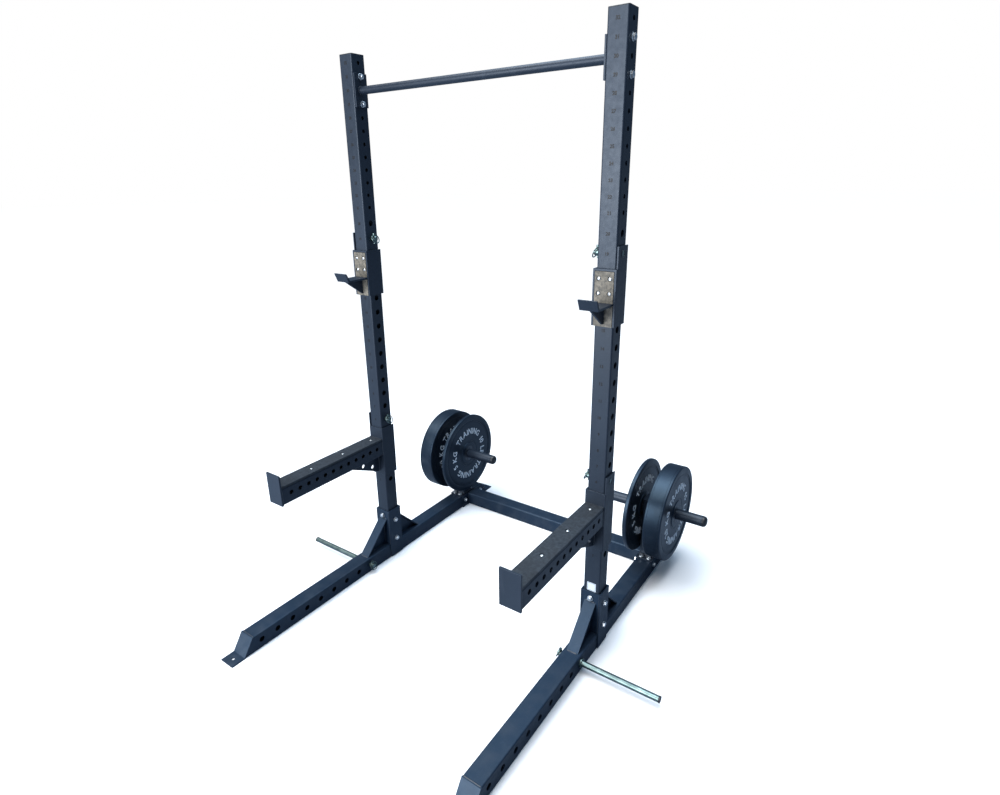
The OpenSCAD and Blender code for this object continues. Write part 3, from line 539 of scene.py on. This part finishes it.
def replace_bolts(node):
    """Detailed bolts on a CAD group of bolts; heads look outwards, forwards or up."""
    bm = bmesh.new()
    for low, high in islands(node):
        size, centre = high - low, (low + high) / 2
        axis = max(range(3), key=lambda k: size[k])
        head, direction = centre.copy(), Vector((0, 0, 0))
        if axis == 0:
            outwards = 1 if centre.x > 0 else -1
            head.x = high.x if outwards > 0 else low.x
            direction.x = -outwards
        elif axis == 1:
            head.y, direction.y = low.y, 1
        else:
            head.z, direction.z = high.z, -1
        hex_bolt(bm, head, direction, size[axis])
    piece = new_piece(node + "_detail", bm, PALETTE["zinc_fasteners"], BODY_OF[node])
    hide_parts(node)


for group in ("base_bolts", "bar_bolts", "cross_bolts", "post_bolts"):
    replace_bolts(group)


SCREW_HEAD = 3 * MM
SCREW_R = 3 * MM
SOCKET_FLATS = 4.4 * MM
SOCKET_DEPTH = 2.2 * MM
DOME_SHARE = 0.8


def socket_screw(bm, head, direction, length, radius):
    """Button-head screw with a hex socket; head is the middle of its top."""
    socket = hexagon(SOCKET_FLATS)
    rings = [(1.2 * MM, SOCKET_DEPTH + 0.2 * MM), (socket, SOCKET_DEPTH)]
    rings += [(socket, 0.25 * MM), (2.9 * MM, 0.08 * MM)]
    for angle in (24, 38, 52, 66, 80, 90):
        t = math.radians(angle)
        rings.append((radius * math.sin(t), SCREW_HEAD * DOME_SHARE * (1 - math.cos(t))))
    rings += [(radius, SCREW_HEAD), (SCREW_R, SCREW_HEAD), (SCREW_R, length)]
    ring_stack(bm, rings, 36, along(head, direction))


def replace_screws(node, direction):
    """Detailed screws on a CAD group of liner screws."""
    bm = bmesh.new()
    axis = 1 if direction[1] else 2
    for low, high in islands(node):
        size, head = high - low, (low + high) / 2
        head[axis] = low[axis] if direction[axis] > 0 else high[axis]
        socket_screw(bm, head, direction, size[axis], size.x / 2)
    piece = new_piece(node + "_detail", bm, PALETTE["zinc_fasteners"], BODY_OF[node])
    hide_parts(node)


for side in SIDES:
    replace_screws(side + "_hook_screws", (0, 1, 0))
    replace_screws(side + "_arm_screws", (0, 0, -1))


# --- Lettering ---

WORDS = {}


def word_mesh(text, boldness):
    """(points, faces) of a text with capitals 1 high, centred, its back at z = 0 and 1 thick."""
    key = (text, boldness)
    if key not in WORDS:
        curve = bpy.data.curves.new("word", "FONT")
        curve.body = text
        curve.align_x, curve.align_y = "CENTER", "CENTER"
        curve.extrude = 0.5
        curve.offset = boldness
        curve.resolution_u = 3
        holder = bpy.data.objects.new("word", curve)
        bpy.context.scene.collection.objects.link(holder)
        graph = bpy.context.evaluated_depsgraph_get()
        graph.update()
        mesh = holder.evaluated_get(graph).to_mesh()
        points = [v.co.copy() for v in mesh.vertices]
        faces = [tuple(f.vertices) for f in mesh.polygons]
        holder.evaluated_get(graph).to_mesh_clear()
        bpy.data.objects.remove(holder)
        tall = max(p.y for p in points) - min(p.y for p in points)
        middle = Vector((
            (max(p.x for p in points) + min(p.x for p in points)) / 2,
            (max(p.y for p in points) + min(p.y for p in points)) / 2,
            -0.5,
        ))
        points = [Vector(((p.x - middle.x) / tall, (p.y - middle.y) / tall, p.z - middle.z)) for p in points]
        WORDS[key] = (points, faces)
    return WORDS[key]


def stamp(bm, text, place, height, thickness, boldness=0.0):
    """Puts raised text into a mesh; place's X runs along the text, its Y up and its Z outwards."""
    points, faces = word_mesh(text, boldness)
    verts = [bm.verts.new(place @ Vector((p.x * height, p.y * height, p.z * thickness))) for p in points]
    for face in faces:
        if len(set(face)) > 2:
            bm.faces.new([verts[i] for i in face])


def ring_text(bm, text, place, radius, start, height, thickness):
    """Capitals round a circle, clockwise, the middle of the text at angle start."""
    gap = LETTER_GAP * height
    widths = []
    for char in text:
        if char == " ":
            widths.append(LETTER_SPACE * height)
        else:
            xs = [p.x for p in word_mesh(char, LETTER_BOLD)[0]]
            widths.append((max(xs) - min(xs)) * height * LETTER_WIDE)
    total = sum(widths) + gap * (len(text) - 1)
    run = -total / 2
    for char, width in zip(text, widths):
        middle = run + width / 2
        run += width + gap
        if char == " ":
            continue
        angle = start - middle / radius
        spot = place @ Matrix.Rotation(angle, 4, "Z") @ Matrix.Translation((0, radius, 0))
        stamp(bm, char, spot @ Matrix.Scale(LETTER_WIDE, 4, (1, 0, 0)), height, thickness, LETTER_BOLD)


# --- Weight plates ---

RIM = 30 * MM
RECESS = 3 * MM
BOSS_R = 65 * MM
PLATE_EDGE = 5 * MM
SCORE_IN = 11 * MM
SCORE_T = 0.8 * MM
FIGURE_RAISE = 1.4 * MM
FIGURE_SUNK = 0.2 * MM
LETTER_R = 131 * MM
LETTER_H = 34 * MM
LETTER_GAP = 0.2
LETTER_SPACE = 0.4
LETTER_WIDE = 0.92
LETTER_BOLD = 0.012


def arc(centre_r, centre_h, radius, start, end, steps):
    """Points (radius, height) on an arc, its angles in degrees from the radial direction."""
    return [
        (
            centre_r + radius * math.cos(math.radians(start + (end - start) * k / steps)),
            centre_h + radius * math.sin(math.radians(start + (end - start) * k / steps)),
        )
        for k in range(steps + 1)
    ]


def plate_face(radius, bore, edge):
    """Half section of one face from the bore out to the rounded edge, the face at height 0."""
    soft = 2 * MM
    groove = 1.2 * MM
    inner = BOSS_R + 9 * MM
    outer = radius - RIM - 8 * MM
    rim_in = radius - RIM
    points = [(bore, -0.6 * MM), (bore + 0.6 * MM, 0.0), (BOSS_R - soft, 0.0)]
    points += arc(BOSS_R - soft, -soft, soft, 90, 20, 4)[1:]
    points += [(BOSS_R + 0.6 * MM, -RECESS)]
    for r in (inner, outer):
        points += [
            (r - groove, -RECESS), (r - 0.5 * groove, -RECESS - groove),
            (r + 0.5 * groove, -RECESS - groove), (r + groove, -RECESS),
        ]
    points += [(rim_in - 0.6 * MM, -RECESS)]
    points += arc(rim_in + soft, -soft, soft, 160, 90, 4)
    points += [(radius - RIM / 2, 0.0)]
    points += arc(radius - edge, -edge, edge, 90, 0, 6)
    return points


def weight_plate(side, kind, words):
    """Bumper plate: raised rims, ringed recess, raised painted figures on both faces."""
    node = f"{side}_{kind}_plate"
    low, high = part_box(node)
    hub_low, hub_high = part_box(f"{side}_{kind}_hub")
    radius, thickness = (high.z - low.z) / 2, high.x - low.x
    bore = (hub_high.z - hub_low.z) / 2 + 0.15 * MM
    centre = (low + high) / 2
    place = Matrix.Translation(centre) @ Matrix.Rotation(math.pi / 2, 4, "Y")
    edge = min(PLATE_EDGE, thickness / 4)
    face = plate_face(radius, bore, edge)
    half = thickness / 2
    section = [(r, h + half) for r, h in face]
    if half > 4 * edge:
        score = half - SCORE_IN
        section += [
            (radius, score + SCORE_T), (radius - SCORE_T, score),
            (radius - SCORE_T, score - SCORE_T), (radius, score - 2 * SCORE_T),
        ]
    section += [(r, -h) for r, h in reversed(section)]
    bm = bmesh.new()
    ring_stack(bm, section, 144, place, closed=True)
    piece = new_piece(node + "_moulded", bm, PALETTE["plate_rubber"], BODY_OF[node], 40)
    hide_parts(node)
    plate_figures(node, centre, half, words)


def plate_figures(node, centre, half, words):
    """Raised painted words round both faces of a plate."""
    bm = bmesh.new()
    for turn in (0, math.pi):
        outwards = Matrix.Rotation(turn, 4, "Z") @ Matrix.Rotation(math.pi / 2, 4, "Y")
        upright = Matrix.Rotation(math.pi / 2, 4, "Z")
        base = Matrix.Translation(centre) @ outwards @ upright
        base = base @ Matrix.Translation((0, 0, half - RECESS - FIGURE_SUNK))
        for k, word in enumerate(words):
            start = TURN * k / len(words)
            ring_text(bm, word, base, LETTER_R, start, LETTER_H, FIGURE_RAISE + FIGURE_SUNK)
    new_piece(node + "_figures", bm, LETTER_PAINT, BODY_OF[node])


HUB_BORE_R = 25.5 * MM
HUB_CHAMFER = 1.5 * MM
HUB_LAND = 6 * MM
HUB_GROOVE_W = 3 * MM
HUB_GROOVE_T = 0.8 * MM
HUB_SLOPE = 0.6 * MM


def hub_ring(side, kind):
    """Steel hub: chamfered bore, turned groove in each face."""
    node = f"{side}_{kind}_hub"
    low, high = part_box(node)
    outer, half = (high.z - low.z) / 2, (high.x - low.x) / 2
    place = Matrix.Translation((low + high) / 2) @ Matrix.Rotation(math.pi / 2, 4, "Y")
    groove = HUB_BORE_R + HUB_LAND
    groove_end = groove + HUB_GROOVE_W
    face = [
        (HUB_BORE_R, -HUB_CHAMFER), (HUB_BORE_R + HUB_CHAMFER, 0.0),
        (groove, 0.0), (groove + HUB_SLOPE, -HUB_GROOVE_T),
        (groove_end - HUB_SLOPE, -HUB_GROOVE_T), (groove_end, 0.0),
        (outer - HUB_GROOVE_T, 0.0), (outer, -HUB_GROOVE_T),
    ]
    section = [(r, h + half) for r, h in face]
    section += [(r, -h) for r, h in reversed(section)]
    bm = bmesh.new()
    ring_stack(bm, section, 96, place, closed=True)
    piece = new_piece(node + "_turned", bm, PALETTE["hub_steel"], BODY_OF[node])
    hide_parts(node)


for side in SIDES:
    weight_plate(side, "thin", ("TRAINING", "5 KG", "TRAINING", "10 LB"))
    weight_plate(side, "thick", ("TRAINING", "20 KG", "TRAINING", "45 LB"))
    for kind in ("thin", "thick"):
        hub_ring(side, kind)


# --- Welds ---

RIPPLE = 4 * MM
RIPPLE_RISE = 0.22
BEAD_LOW = 0.86
BEAD_WANDER = 0.08
WANDER_RATE = 410.0
BEAD_STEP = 1.33 * MM
BEAD_SIDES = 7
TIP_SHARE = 0.35
TIP_RUN = 1.6


def twist(a, b):
    """How many vertices loop b is turned against loop a, for the shortest sides between them."""

    def reach(shift):
        return sum((a[i].co - b[(i + shift) % BEAD_SIDES].co).length for i in range(BEAD_SIDES))

    return min(range(BEAD_SIDES), key=reach)


def bead(bm, points, radius, closed=False):
    """Weld bead along a line of points, with the ripples that a torch leaves."""
    route = [Vector(p) for p in points]
    if closed:
        route.append(route[0])
    stations = []
    travelled = 0.0
    for a, b in zip(route, route[1:]):
        length, heading = (b - a).length, (b - a).normalized()
        steps = max(1, round(length / BEAD_STEP))
        for k in range(steps):
            stations.append((a.lerp(b, k / steps), heading, travelled + length * k / steps))
        travelled += length
    if not closed:
        stations.append((route[-1], stations[-1][1], travelled))
    loops = []
    for spot, heading, distance in stations:
        phase = (distance / RIPPLE) % 1.0
        r = radius * (BEAD_LOW + RIPPLE_RISE * phase + BEAD_WANDER * math.sin(distance * WANDER_RATE))
        if not closed:
            r *= min(1.0, TIP_SHARE + min(distance, travelled - distance) / (TIP_RUN * radius))
        side = heading.orthogonal().normalized()
        over = heading.cross(side)
        loop = []
        for i in range(BEAD_SIDES):
            angle = TURN * i / BEAD_SIDES
            loop.append(bm.verts.new(spot + r * (side * math.cos(angle) + over * math.sin(angle))))
        loops.append(loop)
    pairs = list(zip(loops, loops[1:]))
    if closed:
        pairs.append((loops[-1], loops[0]))
    for a, b in pairs:
        shift = twist(a, b)
        for i in range(BEAD_SIDES):
            j = (i + 1) % BEAD_SIDES
            bm.faces.new((a[i], a[j], b[(j + shift) % BEAD_SIDES], b[(i + shift) % BEAD_SIDES]))
    if not closed:
        bm.faces.new(list(reversed(loops[0])))
        bm.faces.new(loops[-1])


def circle(centre, radius, axis):
    """Points of a circle about X, Y or Z through its centre."""
    u, v = [k for k in range(3) if k != axis]
    points = []
    for i in range(48):
        point = Vector(centre)
        point[u] += radius * math.cos(TURN * i / 48)
        point[v] += radius * math.sin(TURN * i / 48)
        points.append(point)
    return points


WELD_R = 2.6 * MM
FINE_WELD_R = 1.8 * MM
WELD_END = 3 * MM
STRAP_T = 6 * MM
BRACKET_T = 5 * MM
FLANGE_T = 6 * MM
POST_BASE_T = 6 * MM
WEB_T = 8 * MM
LEDGE_T = 8 * MM
LIP_H = 29 * MM
LIP_REACH = 29 * MM


def run_x(bm, low, high, y, z, radius):
    """Bead along X, a little short of both ends."""
    bead(bm, [(low.x + WELD_END, y, z), (high.x - WELD_END, y, z)], radius)


def strap_welds(bm, middle_y):
    """Beads across both ends of the slanted straps."""
    depth = STRAP_T * math.sqrt(2)
    for low, high in islands("base_straps"):
        ahead = high.y < middle_y
        root, toe = (high.y, low.y) if ahead else (low.y, high.y)
        inwards = 1 if ahead else -1
        for z in (high.z, high.z - depth):
            run_x(bm, low, high, root, z, WELD_R)
        for y in (toe, toe + inwards * depth):
            run_x(bm, low, high, y, low.z, WELD_R)


def web_welds(bm, middle_y):
    """Beads on both faces of the webs, along the rail and up the bracket."""
    for low, high in islands("base_webs"):
        ahead = middle_y - low.y > high.y - middle_y
        foot, root = (low.y, high.y) if ahead else (high.y, low.y)
        for x in (low.x, high.x):
            bead(bm, [(x, foot, low.z), (x, root, low.z), (x, root, high.z)], FINE_WELD_R)


def bracket_welds(bm, rail_top):
    """Beads up the corners of the base brackets."""
    for low, high in islands("base_brackets"):
        for x in (low.x + BRACKET_T, high.x - BRACKET_T):
            for y in (low.y, high.y):
                bead(bm, [(x, y, rail_top + WELD_END), (x, y, high.z - WELD_END)], FINE_WELD_R)


def cross_welds(bm, width):
    """Beads over the cross-member's tube, at both end flanges."""
    low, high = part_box("cross_member")
    front = (low.y + high.y - width) / 2
    back, foot = front + width, low.z + WELD_END
    for s in (-1, 1):
        x = s * (high.x - FLANGE_T)
        path = [(x, front, foot), (x, front, high.z), (x, back, high.z), (x, back, foot)]
        bead(bm, path, WELD_R)


def storage_welds(bm, post_x, post_half):
    """Beads round the foot of each storage post, and round each horn's collar at the post."""
    for low, high in islands("storage_posts"):
        base = Vector(((low.x + high.x) / 2, (low.y + high.y) / 2, low.z + POST_BASE_T))
        turns = ((-1, -1), (1, -1), (1, 1), (-1, 1))
        bead(bm, [base + Vector((i, j, 0)) * post_half for i, j in turns], WELD_R, closed=True)
    for low, high in islands("horn_collars"):
        centre = (low + high) / 2
        centre.x = min((low.x, high.x), key=lambda x: abs(abs(x) - post_x))
        bead(bm, circle(centre, (high.z - low.z) / 2, 0), FINE_WELD_R, closed=True)


def frame_welds():
    """Every bead of the frame, as one piece."""
    bm = bmesh.new()
    low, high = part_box("right_upright")
    middle_y, post_x = (low.y + high.y) / 2, (low.x + high.x) / 2
    rail_low, rail_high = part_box("right_rail")
    strap_welds(bm, middle_y)
    web_welds(bm, middle_y)
    bracket_welds(bm, rail_high.z)
    for start, end in islands("foot_plates"):
        run_x(bm, start, end, end.y if end.y < 0 else start.y, end.z, FINE_WELD_R)
    cross_welds(bm, rail_high.x - rail_low.x)
    storage_welds(bm, post_x, post_x - low.x)
    bar_low, bar_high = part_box("pull_up_bar")
    for x in (bar_low.x, bar_high.x):
        centre = Vector((x, (bar_low.y + bar_high.y) / 2, (bar_low.z + bar_high.z) / 2))
        bead(bm, circle(centre, (bar_high.z - bar_low.z) / 2, 0), FINE_WELD_R, closed=True)
    new_piece("frame_welds", bm, WELD, "frame", 60)


def pin_weld(bm, node, side):
    """Bead round the head of a pin, where it stands in its plate's outer face."""
    low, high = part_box(node)
    root = (low + high) / 2
    root.x = high.x if side == "right" else low.x
    bead(bm, circle(root, (high.z - low.z) / 2, 0), FINE_WELD_R, closed=True)


def arm_welds(side):
    """Beads at the arm tube's two ends, down its web and round its pin."""
    bm = bmesh.new()
    low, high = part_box(side + "_arm_tube")
    top = high.z - WELD_END
    for y in (low.y, high.y):
        path = [(low.x, y, top), (low.x, y, low.z), (high.x, y, low.z), (high.x, y, top)]
        bead(bm, path, WELD_R)
    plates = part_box(side + "_arm_plates")
    middle = (low.x + high.x) / 2
    web_end = high.y - (high.y - low.y) / 3
    for x in (middle - WEB_T / 2, middle + WEB_T / 2):
        path = [(x, high.y, plates[0].z + WELD_END), (x, high.y, low.z), (x, web_end, low.z)]
        bead(bm, path, WELD_R)
    pin_weld(bm, side + "_arm_pin", side)
    new_piece(side + "_arm_welds", bm, WELD, side + "_spotter_arm", 60)


def hook_welds(side):
    """Beads where the hook's web meets its ledge, and round its pin."""
    bm = bmesh.new()
    low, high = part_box(side + "_hook_cradle")
    middle = (low.x + high.x) / 2
    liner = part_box(side + "_hook_liner")
    under = high.z - LIP_H - LEDGE_T
    front, back = low.y + LIP_REACH + WELD_END, liner[0].y - WELD_END
    for x in (middle - WEB_T / 2, middle + WEB_T / 2):
        bead(bm, [(x, back, under), (x, front, under)], FINE_WELD_R)
    pin_weld(bm, side + "_hook_pin", side)
    new_piece(side + "_hook_welds", bm, WELD, side + "_j_hook", 60)


frame_welds()
for side in SIDES:
    arm_welds(side)
    hook_welds(side)


# --- Hole numbers and the blank label ---

NUMBER_H = 12 * MM
NUMBER_T = 0.12 * MM
NUMBER_GAP = 0.05 * MM
NUMBER_BOLD = 0.05
# The frame gives the heights of the tenth large hole and of the first small one, a large
# step above the last large hole. The bar's bolts stand two small steps apart.
TENTH = 9
LARGE_HOLES = 20
SMALL_MARGIN = 24 * MM


def hole_numbers(side):
    """Printed numbers beside every adjustment hole, on the upright's front face."""
    low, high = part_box(side + "_upright")
    bars = sorted({round((a.z + b.z) / 2, 5) for a, b in islands("bar_bolts")})
    tenth = MOUNTS[side + "_attachment_hole"]["pos_m"][2]
    small = MOUNTS[side + "_small_hole"]["pos_m"][2]
    pitch = (small - tenth) / (LARGE_HOLES - TENTH)
    fine = (bars[-1] - bars[0]) / 2
    heights = [tenth + (k - TENTH) * pitch for k in range(LARGE_HOLES)]
    z = small
    while z < high.z - SMALL_MARGIN:
        heights.append(z)
        z += fine
    bm = bmesh.new()
    middle = (low.x + high.x) / 2
    for k, z in enumerate(heights):
        place = Matrix.Translation((middle, low.y - NUMBER_GAP, z)) @ Matrix.Rotation(math.pi / 2, 4, "X")
        stamp(bm, str(k + 1), place, NUMBER_H, NUMBER_T, NUMBER_BOLD)
    new_piece(side + "_hole_numbers", bm, NUMBER_INK, "frame")


LABEL = 38 * MM
LABEL_RISE = LABEL / 2 + 2 * MM
LABEL_T = 0.25 * MM
LABEL_CORNER = 2 * MM
BORDER_IN = 3 * MM
BORDER_W = 1.2 * MM
BORDER_T = 0.08 * MM


def rounded_square(bm, place, size, corner, thickness):
    """Flat plate with round corners, its back at z = 0."""
    points = []
    reach = size / 2 - corner
    for quarter, (i, j) in enumerate(((1, 1), (-1, 1), (-1, -1), (1, -1))):
        for k in range(5):
            angle = TURN / 4 * (quarter + k / 4)
            points.append((i * reach + corner * math.cos(angle), j * reach + corner * math.sin(angle)))
    lower = [bm.verts.new(place @ Vector((x, y, 0.0))) for x, y in points]
    upper = [bm.verts.new(place @ Vector((x, y, thickness))) for x, y in points]
    for i in range(len(points)):
        j = (i + 1) % len(points)
        bm.faces.new((lower[i], lower[j], upper[j], upper[i]))
    bm.faces.new(list(reversed(lower)))
    bm.faces.new(upper)


def blank_label():
    """White label on the right upright, above its bracket: a thin border and no words."""
    low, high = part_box("right_upright")
    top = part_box("base_brackets")[1].z
    spot = ((low.x + high.x) / 2, low.y, top + LABEL_RISE)
    place = Matrix.Translation(spot) @ Matrix.Rotation(math.pi / 2, 4, "X")
    bm = bmesh.new()
    rounded_square(bm, place, LABEL, LABEL_CORNER, LABEL_T)
    new_piece("blank_label", bm, LABEL_PAPER, "frame")
    bm = bmesh.new()
    inner = LABEL - 2 * BORDER_IN
    for quarter in range(4):
        turned = place @ Matrix.Rotation(TURN / 4 * quarter, 4, "Z")
        edge = turned @ Matrix.Translation((inner / 2, 0, LABEL_T))
        stretch = Matrix.Diagonal((BORDER_W, inner + BORDER_W, BORDER_T, 1))
        bmesh.ops.create_cube(bm, size=1.0, matrix=edge @ stretch)
    new_piece("label_border", bm, LABEL_PRINT, "frame")


for side in SIDES:
    hole_numbers(side)
blank_label()


# --- Floor, light and camera ---

FLOOR_R = 60.0
FLOOR_T = 20 * MM
FLOOR_DROP = 0.5 * MM


def floor():
    """Pale floor; the light that it throws back at the stand is held down, as dark flags would."""
    p = Paint("floor", Specular_IOR_Level=0.1)
    pale = p.mix(p.noise(0.7, detail=4.0), (0.93, 0.935, 0.94), (0.95, 0.95, 0.955))
    seen = p.add("ShaderNodeLightPath").outputs["Is Camera Ray"]
    p.set("Base Color", p.mix(seen, (0.20, 0.25, 0.32), pale))
    p.set("Roughness", p.span(p.noise(3.0), 0.3, 0.7, 0.7, 0.85))
    bm = bmesh.new()
    rings = [(0.5, 0.0), (3.0, 0.0), (12.0, 0.0), (FLOOR_R, 0.0), (FLOOR_R, -FLOOR_T), (0.5, -FLOOR_T)]
    ring_stack(bm, rings, 96, Matrix.Identity(4))
    mesh = bpy.data.meshes.new("floor")
    bm.to_mesh(mesh)
    bm.free()
    mesh.materials.append(p.material)
    ground = bpy.data.objects.new("floor", mesh)
    ground.location.z = -FLOOR_DROP
    bpy.context.scene.collection.objects.link(ground)


def lamp(name, kind, spot, target, power, colour):
    """Light that stands at spot and points at target."""
    light = bpy.data.lights.new(name, kind)
    light.energy = power
    light.color = colour
    holder = bpy.data.objects.new(name, light)
    holder.location = spot
    holder.rotation_euler = (Vector(target) - Vector(spot)).to_track_quat("-Z", "Y").to_euler()
    bpy.context.scene.collection.objects.link(holder)
    return light


def soft_box(name, spot, target, size, power, colour):
    """Rectangular light; size is its width and height."""
    light = lamp(name, "AREA", spot, target, power, colour)
    light.shape = "RECTANGLE"
    light.size, light.size_y = size


def studio():
    """World that the camera sees as white and the stand as a weak blue, and three lights."""
    world = bpy.data.worlds.new("studio")
    world.use_nodes = True
    tree = world.node_tree
    tree.nodes.clear()
    out = tree.nodes.new("ShaderNodeOutputWorld")
    seen = tree.nodes.new("ShaderNodeBackground")
    seen.inputs["Color"].default_value = (1.0, 1.0, 1.0, 1.0)
    seen.inputs["Strength"].default_value = 1.0
    lit = tree.nodes.new("ShaderNodeBackground")
    lit.inputs["Color"].default_value = (0.42, 0.66, 1.0, 1.0)
    lit.inputs["Strength"].default_value = 0.22
    ray = tree.nodes.new("ShaderNodeLightPath")
    choose = tree.nodes.new("ShaderNodeMixShader")
    tree.links.new(ray.outputs["Is Camera Ray"], choose.inputs["Fac"])
    tree.links.new(lit.outputs["Background"], choose.inputs[1])
    tree.links.new(seen.outputs["Background"], choose.inputs[2])
    tree.links.new(choose.outputs["Shader"], out.inputs["Surface"])
    bpy.context.scene.world = world
    overhead = lamp("overhead", "SUN", (-1.5, -1.5, 6.0), (0.0, 0.0, 0.0), 3.4, (1.0, 0.99, 0.97))
    overhead.angle = math.radians(50)
    soft_box("front", (-1.3, -4.8, 2.0), (0.3, 0.0, 1.1), (3.6, 3.2), 430.0, (0.90, 0.94, 1.0))
    soft_box("top", (0.0, 1.0, 5.2), (0.0, 0.2, 0.0), (4.0, 4.0), 190.0, (0.62, 0.80, 1.0))


def camera():
    """The photograph's viewpoint: in front, to the right, at head height, looking down."""
    yaw, pitch, roll = 0.6187398, -0.3398391, -0.0173346
    forward = Vector((-math.sin(yaw) * math.cos(pitch), math.cos(yaw) * math.cos(pitch), math.sin(pitch)))
    right = Vector((math.cos(yaw), math.sin(yaw), 0.0))
    up = right.cross(forward)
    across = math.cos(roll) * right + math.sin(roll) * up
    upwards = -math.sin(roll) * right + math.cos(roll) * up
    turned = Matrix((across, upwards, -forward)).transposed().to_4x4()
    lens = bpy.data.cameras.new("camera")
    lens.sensor_width = 36.0
    lens.lens = 21.985
    lens.shift_x, lens.shift_y = 0.0102, -0.00585
    lens.clip_end = 200.0
    eye = bpy.data.objects.new("camera", lens)
    eye.matrix_world = Matrix.Translation((1.4414, -1.8762, 1.8410)) @ turned
    bpy.context.scene.collection.objects.link(eye)
    bpy.context.scene.camera = eye


floor()
studio()
camera()
bpy.context.scene.view_settings.view_transform = "Standard"
